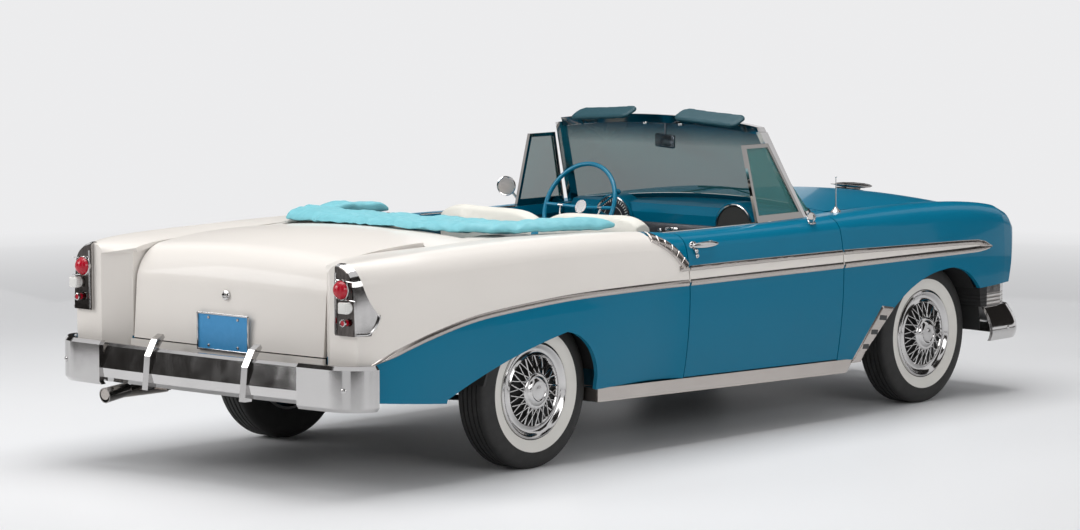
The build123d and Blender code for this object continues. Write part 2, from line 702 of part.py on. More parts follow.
def steering_way(distance):
    """A point on the column's axis, a distance ahead of the steering wheel's centre."""
    x, y, z = STEERING_CENTRE
    tilt = radians(STEERING_TILT)
    return (x + distance * cos(tilt), y, z - distance * sin(tilt))


def steering_column():
    """The column from the hub down to the firewall, with its shift lever."""
    x, y, z = STEERING_CENTRE
    knob = (x + 66, y - 190, z + 74)
    lever = rod(steering_way(105), knob, 5) + Pos(*knob) * Sphere(14)
    return rod(steering_way(HUB_FOOT + SEAT_GAP), steering_way(628), COLUMN_RADIUS) + lever


def steering_wheel():
    """Thin rim, two spokes, a half horn ring and the hub."""
    tilt = radians(STEERING_TILT)
    local = Torus(STEERING_RADIUS, RIM_TUBE) + Pos(0, 0, -HUB_FOOT / 2 - 5) * Cylinder(34, HUB_FOOT - 10)
    for side in (1, -1):
        local = local + rod((0, 0, -26), (0, side * (STEERING_RADIUS - 3), 0), 9)
    ring = Torus(HORN_RING_RADIUS, 5) & Pos(-150, 0, 0) * Box(300, 400, 40)
    local = local + Pos(0, 0, -11) * ring
    plane = Plane(STEERING_CENTRE, x_dir=(sin(tilt), 0, cos(tilt)), z_dir=(-cos(tilt), 0, sin(tilt)))
    return plane * local


def wheel_plane(x, y, side):
    """A plane at a wheel's centre, its Z axis pointing outboard."""
    return Plane((x, side * y, TYRE_RADIUS), x_dir=(1, 0, 0), z_dir=(0, side, 0))


def tyre(place):
    """A tyre with a flat tread, round shoulders and a bulged wall."""
    half, tread = TYRE_WIDTH / 2, TREAD_WIDTH / 2
    bead = RIM_WIDTH / 2 - 12
    upper = [(BEAD_RADIUS + SEAT_GAP, bead), (RIM_LIP_RADIUS + 2, bead + 10), (270, half), (315, half - 4),
             (TYRE_RADIUS - 6, tread + 8), (TYRE_RADIUS, tread - 6)]
    profile = upper + [(r, -h) for r, h in reversed(upper)]
    return spun(profile, place)


def wheel(place):
    """Rim, brake drum and hub turned as one, with the domed cover outboard."""
    half = RIM_WIDTH / 2
    profile = [
        (RIM_LIP_RADIUS, -half), (BEAD_RADIUS, 8 - half), (BEAD_RADIUS, 26 - half), (168, 38 - half), (168, half - 50),
        (BEAD_RADIUS, half - 28), (BEAD_RADIUS, half - 10),
        (RIM_LIP_RADIUS, half), (204, half + 5), (176, half - 14), (74, half + 6), (66, half + 16), (0, half + 26),
        (0, half - 8), (HUB_BORE, half - 8), (HUB_BORE, -30), (DRUM_RADIUS, -30), (DRUM_RADIUS, 8), (160, 8),
        (160, 24 - half), (200, -half - 4),
    ]
    return spun(profile, place)


def knuckle(side):
    """Upright with its kingpin, backing plate and spindle."""
    x, y = WHEELBASE, side * KINGPIN_Y
    low, high = ARM_HEIGHTS
    z = TYRE_RADIUS
    shape = pin(x, y, z, KINGPIN_RADIUS - HUB_CLEARANCE, high - low + 24, (0, 0, 1))
    shape = shape + block(x - 22, x + 22, y - 22, y + 22, z + low + 16, z + high - 16)
    hub = FRONT_TRACK / 2
    shape = shape + pin(x, side * (KINGPIN_Y + hub + RIM_WIDTH / 2 - 12) / 2, z, SPINDLE_RADIUS,
                        hub + RIM_WIDTH / 2 - 12 - KINGPIN_Y)
    plate_y = hub - 38
    shape = shape + pin(x, side * plate_y, z, DRUM_RADIUS - 4, 6)
    return shape + pin(x, side * (plate_y - 16), z, 46, 30)


def front_suspension():
    """Upper and lower arms from the frame to the kingpins, and the crossmember that carries them."""
    reach = RAIL_Y - RAIL_WIDTH / 2 - SEAT_GAP
    rail = RAIL_Y + RAIL_WIDTH / 2
    rear, front = WHEELBASE - 110, WHEELBASE + 110
    shapes = [block(rear, front, 60 + SEAT_GAP - reach, reach - 60 - SEAT_GAP, 250, 298)]
    for side in (1, -1):
        shapes.append(block(rear, front, side * (reach - 60), side * reach, 250, 400))
        shapes.append(block(rear, front, side * (rail + SEAT_GAP), side * (rail + 30), 200, 490))
        root = side * (rail + 30 + SEAT_GAP)
        for height in ARM_HEIGHTS:
            z = TYRE_RADIUS + height
            arm = upright([(WHEELBASE - 105, root), (WHEELBASE + 105, root),
                           (WHEELBASE + 24, side * (KINGPIN_Y + 12)), (WHEELBASE - 24, side * (KINGPIN_Y + 12))],
                          z - 9, z + 9)
            eye = pin(WHEELBASE, side * KINGPIN_Y, z, 28, 18, (0, 0, 1))
            bore = pin(WHEELBASE, side * KINGPIN_Y, z, KINGPIN_RADIUS, 60, (0, 0, 1))
            shapes.append(arm + eye - bore)
    return Compound(children=shapes)


def rear_axle():
    """Differential, axle tubes with their spring seats, backing plates and spindles."""
    z = TYRE_RADIUS
    hub = REAR_TRACK / 2
    ball = 125
    plate_y = hub - 38
    tube_end = plate_y - 3 - SEAT_GAP
    shapes = [Pos(0, 0, z) * Sphere(ball)]
    for side in (1, -1):
        tube = pin(0, side * (ball + SEAT_GAP + tube_end) / 2, z, 38, tube_end - ball - SEAT_GAP)
        seat_z = LEAF_LINE[2][1] + LEAF_THICKNESS / 2 + SEAT_GAP
        shapes.append(tube + block(-50, 50, side * (LEAF_Y[0] - 5), side * (LEAF_Y[1] + 5), seat_z, z + 2))
        shapes.append(pin(0, side * plate_y, z, DRUM_RADIUS - 4, 6))
        root, tip = plate_y + 3 + SEAT_GAP, hub + RIM_WIDTH / 2 - 12
        shapes.append(pin(0, side * (root + tip) / 2, z, SPINDLE_RADIUS, tip - root))
    return Compound(children=shapes)


def bent_lengths(line, height, y_from, y_to):
    """A bent bar as its straight lengths, set end to end with a hair's gap at each bend."""
    half, gap = height / 2, SEAT_GAP / 2
    lengths = []
    for (x0, z0), (x1, z1) in zip(line, line[1:]):
        rise = gap * (z1 - z0) / (x1 - x0)
        lengths.append(across([(x0 + gap, z0 + rise - half), (x1 - gap, z1 - rise - half),
                               (x1 - gap, z1 - rise + half), (x0 + gap, z0 + rise + half)], y_from, y_to))
    return lengths


def leaf_springs():
    """The two leaf springs under the axle with their hangers on the rails."""
    shapes = []
    rail = RAIL_Y + RAIL_WIDTH / 2 + SEAT_GAP
    rear, front = LEAF_LINE[0][0] - SEAT_GAP, LEAF_LINE[-1][0] + SEAT_GAP
    for side in (1, -1):
        near, far = [side * y for y in LEAF_Y]
        shapes += bent_lengths(LEAF_LINE, LEAF_THICKNESS, near, far)
        shapes.append(block(rear - 24, rear, side * rail, far, 380, 430))
        shapes.append(block(front, front + 24, side * rail, far, 270, 312))
    return Compound(children=shapes)


def chassis_frame():
    """Two side rails that kick up over the axle, in straight lengths."""
    shapes = []
    for side in (1, -1):
        inner, outer = side * (RAIL_Y - RAIL_WIDTH / 2), side * (RAIL_Y + RAIL_WIDTH / 2)
        shapes += bent_lengths(RAIL_LINE, RAIL_HEIGHT, inner, outer)
    return Compound(children=shapes)


def crossmembers():
    """The members that tie the two rails."""
    reach = RAIL_Y - RAIL_WIDTH / 2 - SEAT_GAP
    half = MEMBER_HEIGHT / 2
    return Compound(children=[block(x - 35, x + 35, -reach, reach, z - half, z + half) for x, z in MEMBERS])


def tie_downs():
    """Four bored blocks on the rails' inner faces."""
    y = RAIL_Y - RAIL_WIDTH / 2 - SEAT_GAP - TIE_DOWN_SIDE / 2
    z = RAIL_Z - RAIL_HEIGHT / 2 + TIE_DOWN_DEPTH / 2
    shapes = []
    for x in TIE_DOWN_X:
        for side in (1, -1):
            body = Pos(x, side * y, z) * Box(TIE_DOWN_SIDE, TIE_DOWN_SIDE, TIE_DOWN_DEPTH)
            shapes.append(body - pin(x, side * y, z, TIE_DOWN_RADIUS, 2 * TIE_DOWN_DEPTH, (0, 0, 1)))
    return Compound(children=shapes)


def sheet(x0, z0, x1, z1, y_from, y_to):
    """A level or sloping plate of sheet depth between two lines across the car."""
    return across([(x0, z0), (x1, z1), (x1, z1 + SHEET), (x0, z0 + SHEET)], y_from, y_to)


def floor_pan():
    """Cabin floor with its tunnel and toe board, the rear seat's step and the trunk floor."""
    (toe_x, toe_low), (toe_end, toe_high) = TOE_BOARD
    wide, house, gap = FLOOR_HALF_WIDTH, WHEELHOUSE_Y, SEAT_GAP
    step_x = HEEL_X - 60
    slope = (toe_high - toe_low) / (toe_end - toe_x)
    bridge_x = toe_x + (TUNNEL_Z - toe_low) / slope + 2
    bridge_z = TUNNEL_Z + 2 * slope
    shapes = [
        across([(HEEL_X - SHEET - gap, toe_low), (HEEL_X - gap, toe_low), (step_x + SHEET, KICK_Z + SHEET),
                (step_x, KICK_Z + SHEET)], -wide, wide),
        sheet(-350 + gap, KICK_Z, step_x - gap, KICK_Z, -house, house),
        sheet(-700 + gap, TRUNK_FLOOR_Z + gap, -350, KICK_Z + gap, -house, house),
        sheet(TAIL_PANEL_X, TRUNK_FLOOR_Z, -700, TRUNK_FLOOR_Z, 2 - house, house - 2),
        block(HEEL_X + gap, toe_end - 10, -TUNNEL_HALF, TUNNEL_HALF, TUNNEL_Z - SHEET, TUNNEL_Z),
        sheet(bridge_x, bridge_z, toe_end - gap, toe_high, -TUNNEL_HALF, TUNNEL_HALF),
    ]
    for side in (1, -1):
        near = side * (TUNNEL_HALF + gap)
        shapes.append(sheet(HEEL_X, toe_low, toe_x, toe_low, near, side * wide))
        shapes.append(sheet(toe_x + gap, toe_low, toe_end - gap, toe_high, near, side * 640))
        shapes.append(block(HEEL_X + gap, toe_end - 10, side * (TUNNEL_HALF - SHEET), side * TUNNEL_HALF,
                            toe_low, TUNNEL_Z - SHEET - gap))
        shapes.append(block(TAIL_PANEL_X + 8, -380, side * (house + gap), side * 840,
                            TRUNK_FLOOR_Z, TRUNK_FLOOR_Z + SHEET))
    return Compound(children=shapes)


def wheelhouses():
    """Housings over the rear wheels: a round inner wall and a rim of flat plates."""
    start = 9
    count = 6
    step = (180 - 2 * start) / count

    def spot(radius, angle):
        return (radius * cos(radians(angle)), TYRE_RADIUS + radius * sin(radians(angle)))

    shapes = []
    for side in (1, -1):
        wall = [spot(WHEELHOUSE_RADIUS, start + i * step) for i in range(count + 1)]
        shapes.append(across(wall, side * WHEELHOUSE_Y, side * (WHEELHOUSE_Y + SHEET)))
        for i in range(count):
            low, high = start + i * step + 0.02, start + (i + 1) * step - 0.02
            rim = [spot(WHEELHOUSE_RADIUS, low), spot(WHEELHOUSE_RADIUS, high),
                   spot(WHEELHOUSE_RADIUS - SHEET, high), spot(WHEELHOUSE_RADIUS - SHEET, low)]
            shapes.append(across(rim, side * (WHEELHOUSE_Y + SHEET + SEAT_GAP), side * 872))
    return Compound(children=shapes)


def rocker_panel(side):
    """Closed sill under the door, from wheel opening to wheel opening."""
    (x0, z0), (x1, z1) = SILL_ENDS
    return across([(x0, z0), (x1, z1), (x1 - 60, z1 - SILL_HEIGHT), (x0, z0 - SILL_HEIGHT)], side * 802, side * 892)


def rocker_room(side):
    """The room that a sill takes from the panels before and behind it, with a narrow gap."""
    return Pos(CURVED_GAP, 0, CURVED_GAP) * rocker_panel(side) + Pos(-CURVED_GAP, 0, 0) * rocker_panel(side)


def side_trim(side):
    """Trimmed wall beside the rear seat, between the wheelhouse and the door opening."""
    return block(500, 936, side * 796, side * 828, FLOOR_Z + SHEET + SEAT_GAP, 940)


def seat_profile(points, half):
    return across(points, -half, half)


def front_seat_cushion():
    """Full-width cushion on its seat base."""
    x0, x1 = SEAT_X
    z0, z1 = SEAT_CUSHION_Z
    legs = None
    for side in (1, -1):
        leg = block(x0 + 40, x1 - 40, side * 300, side * 380, FLOOR_Z + SHEET + SEAT_GAP, z0)
        legs = leg if legs is None else legs + leg
    cushion = seat_profile([(x0 + 10, z0), (x1, z0 + 10), (x1 + 20, z1 - 40), (x1 - 20, z1 + 8), (x0 + 90, z1 - 20),
                            (x0 + 20, z1 - 20)], SEAT_HALF)
    return cushion + legs


def front_seat_back(side):
    """One half of the split bench back."""
    x0 = SEAT_X[0]
    z1 = SEAT_CUSHION_Z[1]
    foot = z1 - 20 + SEAT_GAP
    points = [(x0 + 76, foot), (x0 + 80, z1 + 120), (x0 + 44, SEAT_TOP - 30), (x0 + 10, SEAT_TOP),
              (x0 - 60, SEAT_TOP - 14), (x0 - 84, SEAT_TOP - 60), (x0 - 40, z1 - 40), (x0 + 12, z1 - 40),
              (x0 + 19, foot)]
    return across(points, side * 8, side * SEAT_HALF)


def rear_seat_cushion():
    x0, x1 = REAR_SEAT_X
    low = KICK_Z + SHEET + SEAT_GAP
    clear = TUNNEL_Z + 8
    return across([(x0, low), (HEEL_X - 46, low), (HEEL_X - 20, clear), (x1 - 60, clear), (x1, 520), (x1 - 30, 610),
                   (x0 + 60, REAR_CUSHION_Z), (x0, REAR_CUSHION_Z)], -REAR_SEAT_HALF, REAR_SEAT_HALF)


def rear_seat_back():
    x0 = REAR_SEAT_X[0]
    foot = REAR_CUSHION_Z + SEAT_GAP
    return across([(x0 + 56, foot), (x0 + 90, 700), (x0 + 40, 950), (x0 - 10, 985), (x0 - 60, 960), (x0 - 10, foot)],
                  -570, 570)


def top_boot():
    """The snapped-down cover over the folded top: a U around the back of the cabin."""
    def plan(grow, z):
        rear, front, inner, arm, wide = -238 - grow, 430, 140, 600, 752 + grow
        points = [
            (rear + 60, -540), (-40, 100 - wide), (260, -wide), (front + grow, -wide), (front + grow, -arm - 20),
            (inner + 60, -arm), (inner, -arm + 60), (inner, arm - 60), (inner + 60, arm), (front + grow, arm + 20),
            (front + grow, wide), (260, wide), (-40, wide - 100), (rear + 60, 540), (rear, 250), (rear, -250),
        ]
        return Wire.make_polygon([Vector(x, y, z) for x, y in points], close=True)
    z0, z1 = BOOT_Z
    shape = loft([plan(0, z0), plan(4, z1 - 26), plan(-30, z1)], ruled=True)
    return shape - crowned(BOOT_ROWS, 800, 0, CURVED_GAP, 900)


def sun_visor(side):
    """A padded visor folded up over the header."""
    blade = extrude(Pos(0, 0, -9) * RectangleRounded(120, 390, 45), amount=18)
    return Pos(1826, side * 330, HEADER_Z - 5.4) * Rot(0, -24, 0) * Rot(-side * 4, 0, 0) * blade


def inside_mirror():
    """Mirror on its stalk below the header's middle."""
    x = bow_at(HEADER_Z - HEADER_HEIGHT).centre[0] - 16
    top = HEADER_Z - HEADER_HEIGHT - CURVED_GAP
    return Pos(x, 0, 1318) * Box(22, 230, 58) + rod((x, 0, 1330), (x, 0, top), 6)


def bumper_wire(plan, z, inset, wall, front):
    """A bumper's closed plan at one height, set back by an inset."""
    points = [(x, -y) for x, y in plan[:0:-1]] + plan
    middle = len(plan) - 1
    if not front:
        points = points[::-1]
    tangent = (0, 1) if front else (0, -1)
    ways = flow(points, middle, tangent)
    return skin_wire(inside(points, ways, inset), middle, tangent, wall, at_z(z))


def bumper_bar(plan, levels, wall, front, ruled=False):
    """A bulged bar lofted through rows of height and inset."""
    return loft([bumper_wire(plan, z, inset, wall, front) for z, inset in levels], ruled)


def front_bumper():
    """Wrapped bar whose upper face leans back, two guards and the irons to the frame."""
    low, high = FRONT_BUMPER_Z
    levels = [(low, 14), (low + 46, 0), (high - 45, 22), (high, 50)]
    bar = bumper_bar(FRONT_BUMPER, levels, BUMPER_WALL, True)
    x = FRONT_END
    for side in (1, -1):
        guard = across([(x - 6, 300), (x - 6, 420), (x - 32, 498), (x - 62, 498), (x - 74, 430), (x - 40, 300)],
                       side * 380, side * 430)
        iron = block(RAIL_FRONT_END + SEAT_GAP, x - 30, side * 392, side * 438, 318, 346)
        bar = bar + guard + iron
    return bar


def rear_bumper():
    """Centre bar with a boxy wing round each corner, two guard blades and the irons to the frame."""
    low, high = REAR_BAR_Z
    levels = [(low, 24), (low + 20, 4), (low + 60, 0), (high - 12, 26), (high, 38)]
    bar = bumper_bar(REAR_BAR, levels, BUMPER_WALL, False, True)
    low, high = REAR_WING_Z
    levels = [(low, 12), (low + 16, 0), (high - 16, 0), (high, 12)]
    wings = bumper_bar(REAR_WING, levels, WING_WALL, False, True)
    bar = bar + (wings - block(-1400, -1000, -WING_START, WING_START, 300, 700))
    x = -REAR_OVERHANG
    for side in (1, -1):
        guard = across([(x, 374), (x + 40, 374), (x + 62, 545), (x + 104, 596), (x + 96, 610), (x + 58, 590), (x + 16, 520)],
                       side * 280, side * 316)
        iron = block(x + 32, RAIL_REAR_END - SEAT_GAP, side * 392, side * 438, 410, 470)
        bar = bar + guard + iron
    return bar


def grille():
    """Fine grid across the whole front with its surround."""
    low, high = GRILLE_Z
    x, bar = GRILLE_X, GRILLE_BAR
    shape = block(x, x + 30, -GRILLE_HALF, GRILLE_HALF, low, low + bar)
    shape = shape + block(x, x + 30, -GRILLE_HALF, GRILLE_HALF, high - bar, high)
    for side in (1, -1):
        shape = shape + block(x, x + 30, side * (GRILLE_HALF - bar), side * GRILLE_HALF, low, high)
    for i in range(1, GRILLE_ROWS):
        z = low + i * (high - low) / GRILLE_ROWS
        shape = shape + block(x + 8, x + 20, 4 - GRILLE_HALF, GRILLE_HALF - 4, z - 3, z + 3)
    for i in range(1, GRILLE_COLUMNS):
        y = GRILLE_HALF * (2 * i / GRILLE_COLUMNS - 1)
        shape = shape + block(x + 4, x + 14, y - 3, y + 3, low + 4, high - 4)
    return shape


def parking_lamp(side):
    """Lamp housing below each headlamp, wrapped round the corner of the fender."""
    plan = upright([(x, side * y) for x, y in CORNER_LAMP_PLAN], 400, 600)
    return plan & across(CORNER_LAMP_SIDE, side * 600, side * 1000)


def headlamp(side):
    """A round lamp bowl with a domed lens."""
    place = Plane((0, side * LAMP_Y, LAMP_Z), x_dir=(0, 1, 0), z_dir=(1, 0, 0))
    x = FRONT_END
    profile = [(0, x - 272), (LAMP_RADIUS - 30, x - 272), (LAMP_RADIUS, x - 190), (LAMP_RADIUS, x - 146),
               (LAMP_RADIUS - 12, x - 138), (LAMP_RADIUS - 40, x - 128), (0, x - 120)]
    return spun(profile, place)


def tail_lamp(side):
    """Crescent housing round the quarter's corner with a ball lens and two small lenses."""
    end = QUARTER[0]._replace(x=TAIL_LENS[0], y_sill=820, y_mid=850, y_shoulder=838, z_crest=962)
    cap = loft([filled_wire(s, side, -4) for s in (end, *QUARTER[:2])], ruled=True)
    housing = cap & bulged_across(tail_outline(0), side * TAIL_LAMP_INNER, side * 1000)
    x, y, z = TAIL_LENS
    housing = housing + Pos(x, side * y, z) * Sphere(TAIL_LENS_RADIUS)
    for (x, y, z), radius in ((REVERSING_LENS, REVERSING_RADIUS), (REFLECTOR, REFLECTOR_RADIUS)):
        housing = housing + pin(x, side * y, z, radius, 30, (1, 0, 0))
    return housing


def engine_block():
    """The engine and gearbox as one plain mass between the rails."""
    mount = GEARBOX_MEMBER_Z + MEMBER_HEIGHT / 2 + SEAT_GAP
    return block(2420, 3060, -260, 260, 302, 800) + block(1900, 2425, -95, 95, mount, 400)


def radiator():
    """Upright radiator behind the grille."""
    rear, front = FRONT_END - 347, FRONT_END - 287
    foot = RAIL_FRONT_Z + RAIL_HEIGHT / 2
    core = block(rear, front, -300, 300, foot, 840)
    return core + block(rear, front, -RAIL_Y - 20, RAIL_Y + 20, foot + SEAT_GAP, 470)


def exhaust():
    """Pipe and muffler beside the tunnel, and the tip that shows under the left end of the bumper."""
    rail = RAIL_Y - RAIL_WIDTH / 2 - SEAT_GAP
    y, z = EXHAUST_Y, EXHAUST_Z
    front = rod((1850, y, z), (700, y, z), 24) + pin(1150, y, z, 58, 520, (1, 0, 0))
    front = front + block(1100, 1124, y, rail, z, z + 20)
    tip_y, tip_z = EXHAUST_TIP
    hanger = block(-1000, -976, RAIL_Y + RAIL_WIDTH / 2 + SEAT_GAP, tip_y, tip_z, tip_z + 66)
    return Compound(children=[front, rod((-1262, tip_y, tip_z), (-900, tip_y, tip_z), 27) + hanger])


BODY = {}
for name, side in (("left", 1), ("right", -1)):
    BODY["quarter_panel_" + name] = quarter_panel(side)
    BODY["front_fender_" + name] = fender(side)
    BODY["door_" + name] = door(side)

BODY["hood"] = hood()
BODY["trunk_lid"] = trunk_lid()
BODY["licence_plate"] = licence_plate()
BODY["rear_deck"] = rear_deck()
BODY["tail_panel"] = tail_panel()
BODY["cowl"] = cowl()
BODY["windshield_glass"] = windshield_glass()
BODY["windshield_frame"] = windshield_frame()
for name, side in (("left", 1), ("right", -1)):
    BODY["vent_window_" + name] = vent_window(side, BODY["door_" + name])
BODY["dashboard"] = dashboard()
BODY["steering_column"] = steering_column()
BODY["steering_wheel"] = steering_wheel()
BODY["chassis_frame"] = chassis_frame()
BODY["crossmembers"] = crossmembers()
BODY["tie_downs"] = tie_downs()
BODY["floor_pan"] = floor_pan()
BODY["wheelhouses"] = wheelhouses()
BODY["rocker_panels"] = Compound(children=[rocker_panel(1), rocker_panel(-1)])
BODY["side_trim"] = Compound(children=[side_trim(1), side_trim(-1)])
BODY["front_seat_cushion"] = front_seat_cushion()
BODY["front_seat_backs"] = Compound(children=[front_seat_back(1), front_seat_back(-1)])
BODY["rear_seat_cushion"] = rear_seat_cushion()
BODY["rear_seat_back"] = rear_seat_back()
BODY["top_boot"] = top_boot()
BODY["sun_visors"] = Compound(children=[sun_visor(1), sun_visor(-1)])
BODY["inside_mirror"] = inside_mirror()
BODY["front_bumper"] = front_bumper()
BODY["rear_bumper"] = rear_bumper()
BODY["grille"] = grille()
BODY["parking_lamps"] = Compound(children=[parking_lamp(1), parking_lamp(-1)])
BODY["headlamps"] = Compound(children=[headlamp(1), headlamp(-1)])
BODY["tail_lamps"] = Compound(children=[tail_lamp(1), tail_lamp(-1)])
BODY["engine_block"] = engine_block()
BODY["radiator"] = radiator()
BODY["exhaust"] = exhaust()
BODY["front_suspension"] = front_suspension()
BODY["rear_axle"] = rear_axle()
BODY["leaf_springs"] = leaf_springs()
for name, side in (("left", 1), ("right", -1)):
    BODY["knuckle_" + name] = knuckle(side)
    front = wheel_plane(WHEELBASE, FRONT_TRACK / 2, side)
    rear = wheel_plane(0, REAR_TRACK / 2, side)
    BODY["tyre_front_" + name] = tyre(front)
    BODY["wheel_front_" + name] = wheel(front)
    BODY["tyre_rear_" + name] = tyre(rear)
    BODY["wheel_rear_" + name] = wheel(rear)

shift = Pos(REAR_OVERHANG - LENGTH / 2, 0, 0)
for name, shape in BODY.items():
    export_step(shift * shape, "parts/" + name + ".step")
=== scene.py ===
import bpy
import bmesh
import math
from mathutils import Matrix, Vector, noise
from mathutils.bvhtree import BVHTree


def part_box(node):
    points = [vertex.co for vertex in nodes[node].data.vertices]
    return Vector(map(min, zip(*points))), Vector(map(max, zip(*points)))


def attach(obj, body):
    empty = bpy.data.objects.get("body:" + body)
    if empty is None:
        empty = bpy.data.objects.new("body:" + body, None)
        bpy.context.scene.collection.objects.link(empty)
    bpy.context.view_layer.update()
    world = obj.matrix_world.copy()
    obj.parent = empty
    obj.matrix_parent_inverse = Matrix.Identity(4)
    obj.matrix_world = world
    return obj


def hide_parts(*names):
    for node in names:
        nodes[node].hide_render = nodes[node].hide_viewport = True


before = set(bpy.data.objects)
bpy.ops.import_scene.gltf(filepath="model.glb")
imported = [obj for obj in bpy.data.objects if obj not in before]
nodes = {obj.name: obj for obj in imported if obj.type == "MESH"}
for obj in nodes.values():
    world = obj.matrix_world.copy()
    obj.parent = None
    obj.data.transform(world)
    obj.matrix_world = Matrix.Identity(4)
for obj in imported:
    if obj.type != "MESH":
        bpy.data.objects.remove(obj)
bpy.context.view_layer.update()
rearAxleX = -1.2385          # the rear axle's place; sizes below count from it, in millimetres
frontAxle = 2921
axleHeight = 343
bodySide = {"left": 1, "right": -1}


def alongCar(x):
    # millimetres ahead of the rear axle, as an x of the shared frame
    return x / 1000 + rearAxleX


def spot(x, y, z):
    # millimetres from the rear axle and the ground, as a point of the shared frame
    return Vector((alongCar(x), y / 1000, z / 1000))


def feed(tree, inlet, value):
    # link a socket or set a plain value
    if isinstance(value, Term):
        tree.links.new(value.socket, inlet)
    elif isinstance(value, (tuple, list)) and len(inlet.default_value) == 4 and len(value) == 3:
        inlet.default_value = (*value, 1)
    else:
        inlet.default_value = value


class Term:
    # a socket that can be added, scaled and compared like a number
    def __init__(self, tree, socket):
        self.tree = tree
        self.socket = socket

    def maths(self, operation, *values):
        node = self.tree.nodes.new("ShaderNodeMath")
        node.operation = operation
        for inlet, value in zip(node.inputs, values):
            feed(self.tree, inlet, value)
        return Term(self.tree, node.outputs[0])

    def __add__(self, other):
        return self.maths("ADD", self, other)

    def __radd__(self, other):
        return self.maths("ADD", other, self)

    def __sub__(self, other):
        return self.maths("SUBTRACT", self, other)

    def __rsub__(self, other):
        return self.maths("SUBTRACT", other, self)

    def __mul__(self, other):
        return self.maths("MULTIPLY", self, other)

    def __rmul__(self, other):
        return self.maths("MULTIPLY", other, self)

    def __truediv__(self, other):
        return self.maths("DIVIDE", self, other)

    def __gt__(self, other):
        return self.maths("GREATER_THAN", self, other)

    def __lt__(self, other):
        return self.maths("LESS_THAN", self, other)

    def __pow__(self, other):
        return self.maths("POWER", self, other)

    def clamped(self):
        node = self.maths("ADD", self, 0)
        node.socket.node.use_clamp = True
        return node

    def wave(self):
        return self.maths("SINE", self)

    def unsigned(self):
        return self.maths("ABSOLUTE", self)


class Finish:
    # a material with one Principled shader and the few node makers that the pieces need
    def __init__(self, name, colour=(0.5, 0.5, 0.5), rough=0.5, metal=0.0, **extra):
        self.material = bpy.data.materials.new(name)
        self.material.use_nodes = True
        self.tree = self.material.node_tree
        self.shader = self.tree.nodes["Principled BSDF"]
        self.give("Base Color", colour)
        self.give("Roughness", rough)
        self.give("Metallic", metal)
        for key, value in extra.items():
            self.give(key.replace("_", " "), value)
        here = self.make("TexCoord", {})
        self.place = self.out(here, "Object")
        self.normal = self.out(here, "Normal")
        parts = self.make("SeparateXYZ", {}, self.place)
        self.x, self.y, self.z = [self.out(parts, i) for i in range(3)]

    def give(self, inlet, value):
        feed(self.tree, self.shader.inputs[inlet], value)

    def out(self, node, which=0):
        return Term(self.tree, node.outputs[which])

    def make(self, kind, settings, *values, **named):
        node = self.tree.nodes.new("ShaderNode" + kind)
        for key, value in settings.items():
            if key == "stops":
                for i, (at, colour) in enumerate(value):
                    stop = node.color_ramp.elements[i] if i < 2 else node.color_ramp.elements.new(at)
                    stop.position = at
                    stop.color = (*colour, 1) if isinstance(colour, tuple) else (colour, colour, colour, 1)
            else:
                setattr(node, key, value)
        for inlet, value in zip(node.inputs, values):
            feed(self.tree, inlet, value)
        for key, value in named.items():
            feed(self.tree, node.inputs[key.replace("_", " ")], value)
        return node

    def noise(self, scale, detail=3.0, stretch=None):
        where = self.place
        if stretch:
            where = self.out(self.make("Mapping", {}, where, Scale=stretch))
        return self.out(self.make("TexNoise", {}, Vector=where, Scale=scale, Detail=detail))

    def cells(self, scale):
        return self.out(self.make("TexVoronoi", {}, Vector=self.place, Scale=scale))

    def ramp(self, value, stops):
        return self.out(self.make("ValToRGB", {"stops": stops}, value))

    def blend(self, share, a, b):
        node = self.make("Mix", {"data_type": "RGBA"})
        feed(self.tree, node.inputs[0], share)
        feed(self.tree, node.inputs[6], a)
        feed(self.tree, node.inputs[7], b)
        return self.out(node, 2)

    def away(self, x=None, y=None, z=None, bothSides=False):
        # distance from a point, or from an axis through it where one of its sizes is left out
        total = 0
        across = self.y.unsigned() if bothSides else self.y
        for value, at in ((self.x, x), (across, y), (self.z, z)):
            if at is not None:
                total = (value - at) * (value - at) + total
        return total ** 0.5

    def within(self, value, low, high):
        return (value > low) * (value < high)

    def inward(self):
        # faces that look towards the middle of the car
        across = self.out(self.make("SeparateXYZ", {}, self.normal), 1)
        return across * self.y < -0.15

    def bump(self, height, depth, strength=1.0):
        node = self.make("Bump", {}, Strength=strength, Distance=depth, Height=height)
        self.give("Normal", self.out(node))


# inside is a painted shade: the near-black of the quarters' inward faces below the lid
tones = {
    "blue": (0.0, 0.145, 0.25), "white": (0.74, 0.70, 0.655), "inside": (0.028, 0.03, 0.033),
    "boot": (0.165, 0.46, 0.52), "teal": (0.0, 0.042, 0.058), "seat": (0.66, 0.64, 0.58),
    "seatBlue": (0.0, 0.19, 0.31), "dash": (0.0, 0.14, 0.24), "carpet": (0.0, 0.04, 0.065),
    "chrome": (0.60, 0.59, 0.585), "bronze": (0.34, 0.325, 0.315), "stainless": (0.52, 0.48, 0.45),
}

# lines along the body: x from the rear axle and height, in millimetres
lowerLine = [(-1092, 559), (-911, 620), (-728, 666), (-484, 709), (-189, 734), (114, 751), (424, 755),
             (923, 753), (2100, 748), (3318, 748)]
upperLine = [(886, 818), (2105, 809), (3163, 785)]
dipLine = [(724, 976), (822, 928), (900, 860), (954, 814)]
lidLine = [(-1056, 300), (-1040, 780), (-890, 930), (-420, 965)]       # 30 mm below the lid's edge
spearTip = (3340, 755)
tailFace = {"x": -1060, "halfWidth": 0.862}


def toned(colour, share, lift=0.0):
    # a darker or paler one of a colour
    return tuple(c * share + lift for c in colour)


